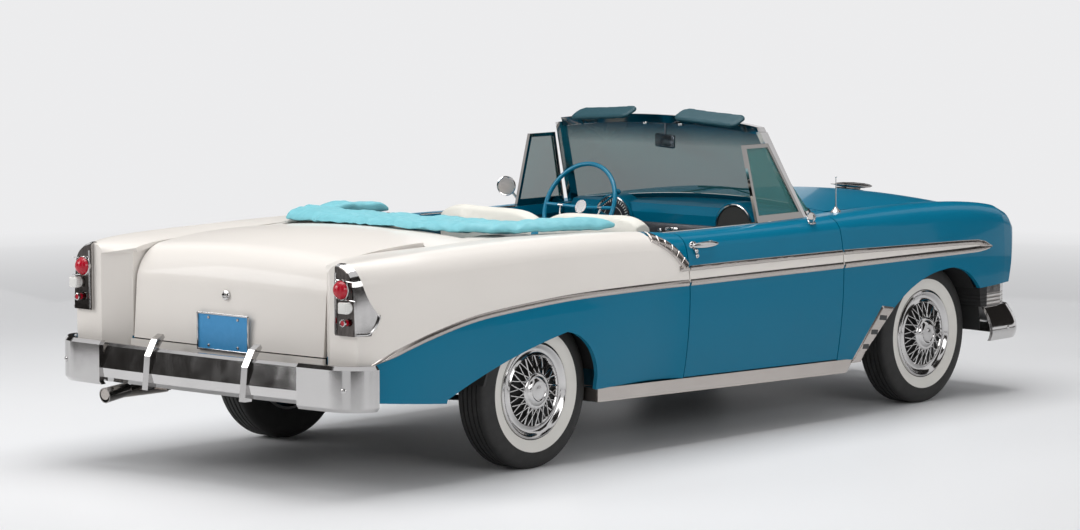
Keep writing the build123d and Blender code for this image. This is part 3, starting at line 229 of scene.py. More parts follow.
def heightAlong(f, line):
    # a ramp that gives a line's height at each x
    points = [(alongCar(x), z / 1000) for x, z in line]
    start, end = points[0][0], points[-1][0]
    share = ((f.x - start) / (end - start)).clamped()
    return f.ramp(share, [((x - start) / (end - start), z) for x, z in points])


def paint(name, pick):
    # gloss paint under lacquer: a faint orange peel, and a colour chosen by place
    f = Finish(name, rough=0.3, Coat_Weight=0.22, Coat_Roughness=0.06, Specular_IOR_Level=0.06)
    mottle = f.noise(2.2, 2.0) * 0.05 + 0.96
    f.give("Base Color", f.blend(mottle, (0, 0, 0), pick(f)))
    f.give("Roughness", f.noise(3.0, 1.0) * 0.04 + 0.28)
    f.bump(f.noise(500.0, 1.0), 0.00003, 0.12)
    return f.material


def pickQuarter(f):
    # ivory above the lower moulding, blue below it and in the corner ahead of the dipping trim, and painted
    # shade on its inward faces below the lid
    top, foot = dipLine[0][1] / 1000, dipLine[-1][1] / 1000
    share = ((top - f.z) / (top - foot)).clamped()
    edge = f.ramp(share, [((top - z / 1000) / (top - foot), x / 1000) for x, z in dipLine])
    corner = (f.x - rearAxleX > edge) * (f.z > upperLine[0][1] / 1000)
    above = f.z > heightAlong(f, lowerLine[:8])
    # the rear face stays ivory down to the bumper
    tail = (f.x < alongCar(tailFace["x"])) * (f.y.unsigned() < tailFace["halfWidth"])
    outside = f.blend((above * (1 - corner) + tail).clamped(), tones["blue"], tones["white"])
    # the faces that look inwards below the lid's edge are painted near-black: painted shade of the trunk's
    # inside
    inside = f.inward() * (f.z < heightAlong(f, lidLine))
    return f.blend(inside, outside, tones["inside"])


def pickSpear(f):
    # the white flash between the two mouldings on the door and the fender
    low = f.z > heightAlong(f, lowerLine[7:])
    high = f.z < heightAlong(f, upperLine + [spearTip])
    ahead = f.x < alongCar(spearTip[0])
    return f.blend(low * high * ahead * (1 - f.inward()), tones["blue"], tones["white"])


def plated(name, colour, rough, grain=None, metal=1.0):
    # polished metal, faintly uneven; a grain draws it out along one way
    f = Finish(name, colour, rough, metal)
    f.give("Roughness", f.noise(14.0, 2.0, grain) * 0.1 + rough)
    f.give("Base Color", f.blend(f.noise(5.0, 2.0), colour, toned(colour, 0.86)))
    f.bump(f.noise(160.0, 2.0, grain), 0.00005, 0.25)
    return f.material


def satin(name, colour, rough, metal=0.0):
    # dull dark finish of castings, frame paint and rubber
    f = Finish(name, colour, rough, metal)
    f.give("Base Color", f.blend(f.noise(7.0, 4.0), colour, toned(colour, 1.8, 0.004)))
    f.bump(f.noise(90.0, 3.0), 0.0006, 0.4)
    return f.material


def grained(name, colour, scale=900.0, rough=0.45, insert=None, wrinkle=0.0):
    # coated cloth with a fine leather grain; an insert gives a second colour by place, with sewn channels
    f = Finish(name, colour, rough, Specular_IOR_Level=0.35)
    grain = f.cells(scale)
    soft = f.noise(18.0, 4.0)
    wear = soft * 0.16 + grain * 0.1
    height = grain * 0.25 + soft * (0.6 + wrinkle)
    base = f.blend(wear, colour, toned(colour, 0.8))
    if insert:
        mask, second, channels = insert(f)
        base = f.blend(mask, base, f.blend(wear, second, toned(second, 0.75)))
        height = height + mask * channels
    f.give("Base Color", base)
    f.give("Roughness", soft * 0.15 + (rough - 0.07))
    f.bump(height, 0.0012, 0.5)
    return f.material


seatPanel = {"from": 0.09, "to": 0.50, "gap": 0.022, "ribs": 260, "deep": 2.2}
doorPanel = {"top": 0.66, "ribs": 210, "deep": 1.6}


def seatInsert(front, rear, top):
    # blue ribbed panels on the faces that are sat on, and the gap between the front backs
    def place(f):
        wide = f.y.unsigned()
        along = f.within(f.x, alongCar(rear), alongCar(front))
        panel = f.within(wide, seatPanel["from"], seatPanel["to"]) * along * (f.z < top / 1000)
        mask = (panel + (wide < seatPanel["gap"])).clamped()
        return mask, tones["seatBlue"], (f.y * seatPanel["ribs"]).wave() * seatPanel["deep"]
    return place


def doorInsert(f):
    # lower half of the side trim in blue ribs below an ivory top
    return f.z < doorPanel["top"], tones["seatBlue"], (f.x * doorPanel["ribs"]).wave() * doorPanel["deep"]


quarterPaint = paint("quarterPaint", pickQuarter)
spearPaint = paint("spearPaint", pickSpear)
bluePaint = paint("bluePaint", lambda f: tones["blue"])
whitePaint = paint("whitePaint", lambda f: tones["white"])
dashPaint = paint("dashPaint", lambda f: tones["dash"])
chrome = plated("chrome", tones["chrome"], 0.05)
stainless = plated("stainlessTrim", tones["stainless"], 0.16, (0.2, 8, 8))
bronzed = plated("darkPlating", tones["bronze"], 0.14)
castIron = satin("castIron", (0.09, 0.09, 0.09), 0.5, 0.4)
frameBlack = satin("frameBlack", (0.012, 0.012, 0.012), 0.6)
rubberBlack = satin("rubberBlack", (0.014, 0.014, 0.014), 0.75)
gaugeBlack = satin("gaugeBlack", (0.01, 0.011, 0.012), 0.35)
backVinyl = grained("backVinyl", tones["seat"], insert=seatInsert(1200, 1035, 900))
cushionVinyl = grained("cushionVinyl", tones["seat"], insert=seatInsert(1500, 1090, 700))
rearBackVinyl = grained("rearBackVinyl", tones["seat"], insert=seatInsert(420, 290, 890))
rearCushionVinyl = grained("rearCushionVinyl", tones["seat"], insert=seatInsert(730, 320, 700))
doorVinyl = grained("doorVinyl", tones["seat"], insert=doorInsert)
bootVinyl = grained("bootVinyl", tones["boot"], 700.0, 0.5, wrinkle=1.6)
tealVinyl = grained("tealVinyl", tones["teal"], 800.0, 0.5)

tint = {"from": 1.28, "deep": 0.1, "share": 0.3, "colour": (0.0, 0.085, 0.14)}
vent = {"rear": 1652, "low": 1000, "sill": 1004, "top": 1328, "bar": 18, "frontBar": 20,
        "frontFoot": 1994, "frontHead": 1839}


def pane(name, colour, clear, cover=None):
    # see-through pane that keeps its gloss; a cover gives the plated border by place
    f = Finish(name, colour, 0.03, Specular_IOR_Level=0.4)
    alpha = f.noise(1.6, 1.0) * 0.03 + clear
    if cover:
        border = cover(f)
        f.give("Alpha", alpha + border * (1 - clear))
        f.give("Metallic", border)
        f.give("Base Color", f.blend(border, colour, tones["bronze"]))
    else:
        band = ((f.z - tint["from"]) / tint["deep"]).clamped()       # tinted along the top of the pane
        f.give("Alpha", alpha + band * tint["share"])
        f.give("Base Color", f.blend(band, colour, tint["colour"]))
    f.material.surface_render_method = "BLENDED"
    return f.material


def ventBorder(f):
    # everything but the pane itself, whose front edge leans back
    lean = (vent["frontFoot"] - vent["frontHead"]) / (vent["top"] - vent["sill"])
    front = (f.z - vent["sill"] / 1000) * -lean + alongCar(vent["frontFoot"] - vent["frontBar"])
    rear = alongCar(vent["rear"] + vent["bar"])
    level = f.within(f.z, vent["low"] / 1000, (vent["top"] - vent["bar"]) / 1000)
    return 1 - f.within(f.x, rear, front) * level


windowGlass = pane("windowGlass", (0.03, 0.21, 0.20), 0.55)
ventGlass = pane("ventGlass", (0.02, 0.16, 0.15), 0.50, ventBorder)
cabinRear = 430


def carpetPile():
    # blue pile in the cabin, and black on the trunk's floor behind it
    f = Finish("carpetPile", tones["carpet"], 0.95)
    pile = f.blend(f.noise(300.0, 3.0), tones["carpet"], toned(tones["carpet"], 2.2))
    f.give("Base Color", f.blend(f.x > alongCar(cabinRear), (0.015, 0.015, 0.016), pile))
    f.bump(f.noise(700.0, 2.0), 0.003, 0.8)
    return f.material


# the discs' y, height and radius on the housing's rear face
tailLamp = {
    "faceX": -1163, "ball": (790, 874, 40.5), "reflector": (812, 738, 13.5), "reversing": (824, 801, 23.5),
    "red": (0.40, 0.004, 0.018), "paleRed": (0.6, 0.02, 0.03), "clear": (0.75, 0.74, 0.72),
    # the last two tones paint a reflection on the housing's rear face: dark, with pale streaks
    "dark": (0.006, 0.005, 0.005), "paintedGlint": (0.20, 0.18, 0.17),
}


def tailFinish():
    # plated housing whose rear face is painted dark with pale streaks, a painted reflection, with the ball
    # lens, the reversing lens and the reflector
    f = Finish("tailLampFinish", tones["chrome"], 0.08)
    rear = f.x < alongCar(tailLamp["faceX"])

    def disc(part):
        y, z, radius = tailLamp[part]
        return (f.away(y=y / 1000, z=z / 1000, bothSides=True) < radius / 1000) * rear

    red = (disc("ball") + disc("reflector")).clamped()
    white = disc("reversing")
    lens = (red + white).clamped()
    uneven = f.noise(40.0, 2.0) * 0.1
    # the rear face is painted dark with pale upright streaks: a painted reflection in the plating
    paintedStreaks = f.noise(22.0, 3.0, (1, 6, 1))
    platingAndReflection = f.blend(rear, tones["chrome"], f.blend(paintedStreaks, tailLamp["dark"], tailLamp["paintedGlint"]))
    redGlass = f.blend(uneven, tailLamp["red"], tailLamp["paleRed"])
    f.give("Base Color", f.blend(red, f.blend(white, platingAndReflection, tailLamp["clear"]), redGlass))
    f.give("Metallic", 1 - lens)
    f.give("Roughness", uneven + 0.06)
    f.bump(f.cells(240.0) * lens, 0.0006, 0.4)
    return f.material


headlamp = {"x": 3608, "y": 735, "z": 778, "glass": 78,
            "rim": [(78, -2), (80, 8), (86, 12), (94, 8), (98, -4), (96, -14)]}


def headlampFinish():
    # round lens with flutes inside a plated rim
    f = Finish("headlampFinish", (0.7, 0.7, 0.7), 0.06)
    gone = f.away(y=headlamp["y"] / 1000, z=headlamp["z"] / 1000, bothSides=True)
    glass = gone < headlamp["glass"] / 1000
    flutes = (f.y * 520).wave() * 0.5 + 0.5
    fluted = f.blend(flutes, (0.50, 0.51, 0.51), (0.80, 0.81, 0.80))
    f.give("Base Color", f.blend(glass, tones["chrome"], fluted))
    f.give("Metallic", 1 - glass)
    f.bump(flutes * glass + f.noise(60.0, 2.0) * 0.1, 0.001, 0.6)
    return f.material


cornerLamp = {"lensTop": 0.514, "archEnd": 3338}


def cornerLampFinish():
    # plated top, a lens in three ribs below it, and its end inside the wheel arch painted near-black as
    # painted shade
    f = Finish("cornerLampFinish", tones["chrome"], 0.1)
    lens = f.z < cornerLamp["lensTop"]
    # the end inside the wheel arch is painted near-black and matt: painted shade
    archShade = f.x < alongCar(cornerLamp["archEnd"])
    ribs = (f.z * 340).wave() * 0.5 + 0.5
    ribbed = f.blend(lens, tones["chrome"], f.blend(ribs, (0.34, 0.31, 0.29), (0.62, 0.60, 0.58)))
    f.give("Base Color", f.blend(archShade, ribbed, (0.01, 0.01, 0.01)))
    f.give("Metallic", (1 - lens * 0.5) * (1 - archShade))
    f.give("Roughness", f.noise(30.0, 2.0) * 0.12 + 0.08 + archShade * 0.6)
    f.bump(ribs * lens, 0.004, 0.8)
    return f.material


rubber = {"outerWall": 0.74, "band": (0.217, 0.2695), "tread": 0.334, "cuts": 92, "cutShare": 0.62}
paintedShadeRing = (0.077, 0.158)         # radii between which the wheel is painted dark behind the wires of its cover: painted shade


def rubberOf(name, x, side):
    # black rubber with the wide white band on the outer wall, and the tread's cross cuts
    f = Finish(name, (0.02, 0.02, 0.02), 0.7)
    height = axleHeight / 1000
    gone = f.away(x=x, z=height)
    band = f.within(gone, *rubber["band"]) * (f.y * side > rubber["outerWall"])
    dust = f.noise(25.0, 4.0)
    black = f.blend(dust, (0.010, 0.010, 0.010), (0.030, 0.029, 0.028))
    white = f.blend(dust * 0.3, (0.72, 0.70, 0.655), (0.60, 0.57, 0.53))
    f.give("Base Color", f.blend(band, black, white))
    angle = f.z.maths("ARCTAN2", f.z - height, f.x - x)
    zigzag = ((f.y * 500).wave() * 0.02 + angle) * rubber["cuts"]
    cuts = (zigzag.wave() > rubber["cutShare"]) * (gone > rubber["tread"])
    f.bump(f.noise(200.0, 2.0) * 0.2 - cuts * 4, 0.0015, 0.9)
    return f.material


def wheelFinish(name, x):
    # plated all over, with painted shade behind the wires of the cover
    f = Finish(name, tones["chrome"], 0.08, 1.0)
    dark = f.within(f.away(x=x, z=axleHeight / 1000), *paintedShadeRing)
    f.give("Base Color", f.blend(dark, tones["chrome"], (0.02, 0.02, 0.02)))
    f.give("Roughness", dark * 0.3 + f.noise(20.0, 2.0) * 0.08 + 0.05)
    f.bump(f.noise(120.0, 2.0), 0.0001, 0.3)
    return f.material


steering = {"hub": (1700, 380, 985), "ring": (0.112, 0.140), "centre": 0.036}


def steeringFinish():
    # blue moulded rim and spokes with a plated half ring and centre
    f = Finish("steeringFinish", tones["dash"], 0.22)
    gone = f.away(*spot(*steering["hub"]))
    bright = (f.within(gone, *steering["ring"]) + (gone < steering["centre"])).clamped()
    moulded = f.blend(f.noise(12.0, 2.0), (0.0, 0.15, 0.26), (0.0, 0.18, 0.30))
    f.give("Base Color", f.blend(bright, moulded, tones["chrome"]))
    f.give("Metallic", bright)
    f.bump(f.noise(60.0, 2.0), 0.0002, 0.3)
    return f.material


def plateFinish():
    # pressed plate in blue enamel
    f = Finish("plateFinish", (0.03, 0.25, 0.52), 0.35)
    f.give("Base Color", f.blend(f.noise(60.0, 3.0), (0.03, 0.24, 0.50), (0.05, 0.29, 0.58)))
    f.bump(f.noise(300.0, 1.0), 0.0002, 0.3)
    return f.material


def dress(material, *names):
    for name in names:
        holders = nodes[name].material_slots
        for one in holders:
            one.material = material
        if not holders:
            nodes[name].data.materials.append(material)


dress(quarterPaint, "quarter_panel_left", "quarter_panel_right")
dress(spearPaint, "door_left", "door_right", "front_fender_left", "front_fender_right")
dress(bluePaint, "hood", "cowl")
dress(whitePaint, "trunk_lid", "rear_deck", "tail_panel")
dress(chrome, "front_bumper", "rear_bumper", "windshield_frame", "grille", "inside_mirror")
dress(stainless, "rocker_panels", "exhaust")
dress(frameBlack, "chassis_frame", "crossmembers", "tie_downs", "leaf_springs", "wheelhouses",
      "front_suspension", "rear_axle", "radiator")
dress(castIron, "knuckle_left", "knuckle_right", "engine_block")
dress(carpetPile(), "floor_pan")
dress(rubberBlack, "tyre_front_left", "tyre_front_right", "tyre_rear_left", "tyre_rear_right")
dress(windowGlass, "windshield_glass")
dress(ventGlass, "vent_window_left", "vent_window_right")
dress(doorVinyl, "side_trim")
dress(dashPaint, "dashboard", "steering_column")
dress(steeringFinish(), "steering_wheel")
dress(headlampFinish(), "headlamps")
dress(cornerLampFinish(), "parking_lamps")
dress(tailFinish(), "tail_lamps")
dress(plateFinish(), "licence_plate")
dress(wheelFinish("wheelFront", alongCar(frontAxle)), "wheel_front_left", "wheel_front_right")
dress(wheelFinish("wheelRear", rearAxleX), "wheel_rear_left", "wheel_rear_right")
print("frame dressed")


def meshFrom(name, bm):
    mesh = bpy.data.meshes.new(name)
    bm.to_mesh(mesh)
    bm.free()
    return mesh


def putInScene(name, data):
    thing = bpy.data.objects.new(name, data)
    bpy.context.scene.collection.objects.link(thing)
    return thing


def makePiece(name, bm, material, body, angle=35):
    # turn a bmesh into a smooth-shaded piece that rides on a body
    bmesh.ops.remove_doubles(bm, verts=bm.verts, dist=0.00001)
    bmesh.ops.recalc_face_normals(bm, faces=bm.faces)
    mesh = meshFrom(name, bm)
    mesh.polygons.foreach_set("use_smooth", [True] * len(mesh.polygons))
    mesh.set_sharp_from_angle(angle=math.radians(angle))
    mesh.materials.append(material)
    piece = putInScene(name, mesh)
    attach(piece, body)
    return piece


def facing(centre, axis):
    # a frame at a point whose Z runs along an axis
    return Matrix.Translation(centre) @ Vector(axis).to_track_quat("Z", "Y").to_matrix().to_4x4()


def turned(bm, rows, centre, axis, steps=48):
    # rows of radius and height, in millimetres, spun about an axis
    place = facing(centre, axis)
    verts = [bm.verts.new(place @ Vector((r / 1000, 0, h / 1000))) for r, h in rows]
    edges = [bm.edges.new(pair) for pair in zip(verts, verts[1:])]
    bmesh.ops.spin(bm, geom=verts + edges, cent=centre, axis=place.col[2].to_3d(), dvec=(0, 0, 0),
                   angle=math.radians(360), steps=steps, use_merge=True)


def rounded(bm, low, high, radius, segments=2, turn=None):
    # a box between two corners with rounded edges
    low, high = spot(*low), spot(*high)
    made = bmesh.ops.create_cube(bm, size=1)["verts"]
    size = [abs(b - a) for a, b in zip(low, high)]
    bmesh.ops.scale(bm, verts=made, vec=size)
    if turn:
        bmesh.ops.transform(bm, verts=made, matrix=turn.to_4x4())
    bmesh.ops.translate(bm, verts=made, vec=(low + high) / 2)
    edges = list({edge for vert in made for edge in vert.link_edges})
    bmesh.ops.bevel(bm, geom=edges, offset=radius / 1000, segments=segments, profile=0.5,
                    affect="EDGES", material=-1)


def bar(bm, start, end, radius, endRadius=None, sides=12):
    # a round bar between two points, which may taper
    way = end - start
    bmesh.ops.create_cone(bm, cap_ends=True, segments=sides, radius1=radius / 1000,
                          radius2=(radius if endRadius is None else endRadius) / 1000, depth=way.length,
                          matrix=facing((start + end) / 2, way))


def ball(bm, centre, radius, stretch=(1, 1, 1), fine=1):
    bmesh.ops.create_uvsphere(bm, u_segments=24 * fine, v_segments=14 * fine, radius=radius / 1000,
                              matrix=Matrix.Translation(centre) @ Matrix.Diagonal((*stretch, 1)))


def surfaceOf(*names):
    # the outer skin of some CAD nodes, for laying trim on
    verts, faces = [], []
    for name in names:
        mesh = nodes[name].data
        start = len(verts)
        verts += [v.co.copy() for v in mesh.vertices]
        faces += [[start + i for i in face.vertices] for face in mesh.polygons]
    return BVHTree.FromPolygons(verts, faces)


beside, overhead = 1400, 1600           # rays start this far out from the car, and this high


def fromSide(tree, side, x, z):
    # where a ray from beside the car meets a surface
    return tree.ray_cast(spot(x, side * beside, z), Vector((0, -side, 0)))[0]


def curveThrough(points, share):
    # a point and its direction at a share of a smooth line through the points
    lengths = [math.dist(a, b) for a, b in zip(points, points[1:])]
    run = share * sum(lengths)
    i = 0
    while i < len(lengths) - 1 and run > lengths[i]:
        run -= lengths[i]
        i += 1
    t = min(run / lengths[i], 1)
    p = [Vector(points[max(0, min(len(points) - 1, i + k))]) for k in (-1, 0, 1, 2)]
    if i == 0:
        p[0] = 2 * p[1] - p[2]
    if i == len(lengths) - 1:
        p[3] = 2 * p[2] - p[1]
    at = 0.5 * (2 * p[1] + (p[2] - p[0]) * t + (2 * p[0] - 5 * p[1] + 4 * p[2] - p[3]) * t * t
                + (3 * p[1] - p[0] - 3 * p[2] + p[3]) * t * t * t)
    way = 0.5 * ((p[2] - p[0]) + 2 * (2 * p[0] - 5 * p[1] + 4 * p[2] - p[3]) * t
                 + 3 * (3 * p[1] - p[0] - 3 * p[2] + p[3]) * t * t)
    return at, way.normalized()


def layStrip(bm, tree, points, width, proud, side, count=60, rows=4, taper=None, flat=0.0, wave=None):
    # a half-round strip laid on a panel; points are x and z seen from the side, or x and y from above
    made = bmesh.ops.create_grid(bm, x_segments=count, y_segments=rows, size=0.5)["verts"]
    lastHit = None
    for vert in sorted(made, key=lambda v: v.co.x):
        u, w = vert.co.x + 0.5, vert.co.y
        (a, b), (ta, tb) = curveThrough(points, u)
        spread = width * (taper(u) if taper else 1)
        a, b = a - tb * w * spread, b + ta * w * spread
        if side:
            start, way = spot(a, side * beside, b), Vector((0, -side, 0))
        else:
            start, way = spot(a, b, overhead), Vector((0, 0, -1))
        hit, normal, _, _ = tree.ray_cast(start, way)
        if hit is None:         # past the panel's edge the strip runs on at the last height
            hit, normal = lastHit[0].copy(), lastHit[1]
            for axis in ((0, 2) if side else (0, 1)):
                hit[axis] = start[axis]
        lastHit = (hit.copy(), normal)
        if normal.dot(way) > 0:
            normal = -normal
        lift = (1 - (2 * abs(w)) ** (2 + flat)) * proud
        if wave:
            lift *= wave(u)
        vert.co = hit + normal * (lift / 1000 + 0.0002)
    faces = list({face for vert in made for face in vert.link_faces})
    bmesh.ops.solidify(bm, geom=faces, thickness=0.0018)


sideSkin = {name: surfaceOf("quarter_panel_" + name, "door_" + name, "front_fender_" + name)
            for name in bodySide}
moulding = {
    "lower": 27, "upper": 22, "proud": 7, "dipWidth": 46, "dipProud": 10, "hashes": 6,
    "rearEnd": (938, 753), "stub": [(886, 818), (940, 818)],
    "dip": [(732, 972), (776, 950), (822, 926), (866, 896), (904, 858), (930, 826)],
    "doorLower": [(951, 753), (1500, 751), (2097, 748)],
    "doorUpper": [(951, 817), (1500, 814), (2097, 809)],
    "frontLower": [(2110, 748), (2700, 748), (3250, 747), (3350, 753)],
    "frontUpper": [(2110, 809), (2640, 798), (3163, 785), (3260, 772), (3350, 753)],
}


def sideMouldings(name):
    # the two long mouldings with the pointed tip, and the hashed dip
    side, tree = bodySide[name], sideSkin[name]
    lower, upper, proud = moulding["lower"], moulding["upper"], moulding["proud"]
    rear = bmesh.new()
    rearLine = [p for p in lowerLine if p[0] < 900] + [moulding["rearEnd"]]
    layStrip(rear, tree, rearLine, lower, proud, side, 120, taper=lambda u: min(1, 0.3 + u * 12))
    layStrip(rear, tree, moulding["stub"], upper, proud, side, 8)
    layStrip(rear, tree, moulding["dip"], moulding["dipWidth"], moulding["dipProud"], side, 96, 8, flat=4,
             wave=lambda u: 0.55 if (u * moulding["hashes"]) % 1 < 0.12 else 1.0)
    makePiece("quarterMoulding_" + name, rear, stainless, "body")
    middle = bmesh.new()
    layStrip(middle, tree, moulding["doorLower"], lower, proud, side, 60)
    layStrip(middle, tree, moulding["doorUpper"], upper, proud, side, 60)
    makePiece("doorMoulding_" + name, middle, stainless, "door_" + name)
    front = bmesh.new()
    layStrip(front, tree, moulding["frontLower"], lower, proud, side, 90,
             taper=lambda u: min(1, (1.02 - u) * 9))
    layStrip(front, tree, moulding["frontUpper"], upper, proud, side, 90,
             taper=lambda u: min(1.5, 1 + max(0, u - 0.86) * 5) * min(1, (1.02 - u) * 14))
    makePiece("fenderMoulding_" + name, front, stainless, "body")


shield = {
    "inner": [(2212, 268), (2322, 410), (2420, 528)], "outer": [(2286, 268), (2402, 392), (2526, 512)],
    "proud": 5, "bareY": 894, "slots": (0.28, 0.54, 0.8), "across": (0.24, 0.5, 0.8),
    "slotWidth": 30, "slotProud": 6.4,
}


def gravelShield(name):
    # bright guard along the rear edge of the front wheel opening, with three slots
    side, tree = bodySide[name], sideSkin[name]
    bm = bmesh.new()
    for vert in bmesh.ops.create_grid(bm, x_segments=40, y_segments=12, size=0.5)["verts"]:
        u, w = vert.co.x + 0.5, vert.co.y + 0.5
        a, _ = curveThrough(shield["inner"], u)
        b, _ = curveThrough(shield["outer"], u)
        x, z = a + (b - a) * w
        hit = fromSide(tree, side, x, z)
        rim = min(1, w * 8, (1 - w) * 8, u * 20, (1 - u) * 20)
        if hit is None:
            hit = spot(x, side * shield["bareY"], z)
        vert.co = hit + Vector((0, side, 0)) * (shield["proud"] * rim / 1000 + 0.0003)
    bmesh.ops.solidify(bm, geom=list(bm.faces), thickness=0.0015)
    makePiece("gravelShield_" + name, bm, stainless, "body", 25)
    slots = bmesh.new()
    for u in shield["slots"]:
        (a, _), (b, _) = curveThrough(shield["inner"], u), curveThrough(shield["outer"], u)
        line = [tuple(a + (b - a) * share) for share in shield["across"]]
        layStrip(slots, tree, line, shield["slotWidth"], shield["slotProud"], side, 12, 6, flat=8)
    makePiece("shieldSlots_" + name, slots, gaugeBlack, "body")


handle = {
    "rear": 968, "front": 1150, "z": 917, "stand": 26, "grip": 93, "lockZ": 868,
    "button": [(0, 16), (8, 15), (11, 12), (12, 6), (12, -4)], "lock": [(0, 8), (8, 7), (11, 4), (12, -3)],
    "belt": [(956, 747), (1300, 748), (1640, 749)], "beltWidth": 16, "beltProud": 6,
}


def doorHardware(name):
    # pull handle with its push button and lock, and the belt's bright strip on the door
    side, tree = bodySide[name], sideSkin[name]

    def face(x, z, off=0.0):
        hit = fromSide(tree, side, x, z)
        return Vector((hit.x, hit.y + side * off / 1000, hit.z))

    bm = bmesh.new()
    middle = (handle["rear"] + handle["front"]) / 2
    level, stand = handle["z"], handle["stand"]
    ball(bm, face(middle, level, stand), handle["grip"], (1, 0.085, 0.16), 2)
    for x, size in ((handle["rear"] + 28, 20), (handle["front"] - 22, 15)):
        ball(bm, face(x, level, 1), size, (1.3, 0.35, 0.9))
        bar(bm, face(x, level, -2), face(x, level, stand - 4), size * 0.5, size * 0.42, 16)
    turned(bm, handle["button"], face(handle["rear"] + 34, level - 26), (0, side, 0), 24)
    turned(bm, handle["lock"], face(handle["rear"] + 44, handle["lockZ"]), (0, side, 0), 24)
    makePiece("doorHandle_" + name, bm, chrome, "door_" + name)
    belt = bmesh.new()
    layStrip(belt, surfaceOf("door_" + name), [(x, side * y) for x, y in handle["belt"]],
             handle["beltWidth"], handle["beltProud"], 0, 50)
    makePiece("doorBelt_" + name, belt, chrome, "door_" + name)


mirrors = {
    "left": {"centre": (1776, 925, 1050), "radius": 49, "foot": (1842, 884, 958), "lean": (-1, -0.42, 0.03)},
    "right": {"centre": (1900, -884, 985), "radius": 26, "foot": (1925, -872, 955), "lean": (-1, 0.25, 0.03)},
}


def sideMirror(name):
    # round mirror on a short stem on the left door, and a small one on the right
    bm = bmesh.new()
    size = mirrors[name]
    centre, foot, lean, r = spot(*size["centre"]), spot(*size["foot"]), Vector(size["lean"]), size["radius"]
    turned(bm, [(0, 2), (r * 0.86, 2), (r * 0.93, 5), (r, 4), (r * 1.02, 0), (r * 0.9, -9), (r * 0.5, -20),
                (0, -24)], centre, lean, 48)
    bar(bm, centre - lean * 0.018, foot, 6, 8)
    ball(bm, foot, 17, (1.5, 0.8, 0.5))
    makePiece("doorMirror_" + name, bm, chrome, "door_" + name)


liner = {"radius": 398, "rows": (520, 640, 760, 866), "from": -2, "to": 150, "wall": 4}


def wheelLiner(name):
    # dark inner arch ahead of and above the front wheel
    side = bodySide[name]
    bm = bmesh.new()
    centre = spot(frontAxle, 0, axleHeight)
    start = math.radians(liner["from"])
    r = liner["radius"] / 1000
    foot = centre + Vector((r * math.cos(start), 0, r * math.sin(start)))
    verts = [bm.verts.new((foot.x, side * y / 1000, foot.z)) for y in liner["rows"]]
    edges = [bm.edges.new(pair) for pair in zip(verts, verts[1:])]
    bmesh.ops.spin(bm, geom=verts + edges, cent=centre, axis=(0, -1, 0), dvec=(0, 0, 0),
                   angle=math.radians(liner["to"] - liner["from"]), steps=40, use_merge=False)
    bmesh.ops.solidify(bm, geom=list(bm.faces), thickness=liner["wall"] / 1000)
    makePiece("wheelLiner_" + name, bm, frameBlack, "body")


aerial = {"foot": (2259, -760, 982), "end": (2256, -762, 1148), "tip": (2256, -762, 1150),
          "base": [(0, 26), (7, 25), (10, 18), (20, 8), (26, 0), (26, -4), (0, -4)]}


def antenna():
    # short mast on a bell-shaped foot
    bm = bmesh.new()
    foot = spot(*aerial["foot"])
    turned(bm, aerial["base"], foot, (0, 0, 1), 32)
    bar(bm, foot, spot(*aerial["end"]), 3.2, 2.0)
    ball(bm, spot(*aerial["tip"]), 4.5)
    makePiece("antenna", bm, chrome, "body")


ornament = {
    "foot": [(3270, 0), (3400, 0), (3560, 0)], "footWidth": 30, "footProud": 8, "middle": (3425, 0, 1006),
    "dart": [(0, -170), (8, -150), (13, -90), (15, 0), (13, 90), (8, 140), (0, 165)],
    "fins": [(3400, 4, 1008, 5), (3345, 3, 1010, 4)], "finTip": (3300, 52, 1018),
    "stemLow": (3350, -7, 980), "stemHigh": (3480, 7, 1004),
}


def hoodOrnament():
    # slender dart on a low foot, with small swept fins
    bm = bmesh.new()
    layStrip(bm, surfaceOf("hood"), ornament["foot"], ornament["footWidth"], ornament["footProud"], 0, 40,
             taper=lambda u: min(1, 0.15 + u * 2.2) * min(1, (1.02 - u) * 6))
    turned(bm, ornament["dart"], spot(*ornament["middle"]), (1, 0, -0.09), 24)
    tipX, tipY, tipZ = ornament["finTip"]
    for side in (1, -1):
        for x, y, z, radius in ornament["fins"]:
            bar(bm, spot(x, side * y, z), spot(tipX, side * tipY, tipZ), radius, 2, 10)
    rounded(bm, ornament["stemLow"], ornament["stemHigh"], 5)
    makePiece("hoodOrnament", bm, bronzed, "hood")


wiper = {"pivot": (2336, 250, 1012), "hub": [(0, 14), (9, 12), (13, 4), (13, -8)], "apart": 20,
         "arm": (2322, -30, 1062), "bladeFrom": (2318, -190, 1058), "bladeTo": (2326, 120, 1056)}


def wipers():
    # arms and blades parked along the foot of the glass
    bm = bmesh.new()
    x, y, z = wiper["pivot"]
    for side in (1, -1):
        pivot = spot(x, side * y, z)
        turned(bm, wiper["hub"], pivot, (0.3, 0, 1), 24)
        arm, bladeFrom, bladeTo = [spot(a, side * wiper["apart"] + b, c)
                                   for a, b, c in (wiper["arm"], wiper["bladeFrom"], wiper["bladeTo"])]
        bar(bm, pivot + Vector((0, 0, 0.008)), arm, 4, 3, 10)
        bar(bm, bladeFrom, bladeTo, 4.5, 4.5, 8)
    makePiece("wipers", bm, gaugeBlack, "body")


cover = {
    "wires": 20, "inner": 76, "outer": 154, "lean": 15,
    "ring": [(202, 55), (213, 63), (215, 69), (212, 75), (205, 78), (198, 75), (191, 66), (182, 60), (172, 60),
             (163, 65), (158, 68), (153, 64), (152, 54), (160, 50)],
    "cap": [(84, 74), (84, 82), (80, 88), (74, 91), (66, 91), (62, 95), (52, 101), (46, 102), (43, 99),
            (38, 98), (20, 100), (0, 101)],
}


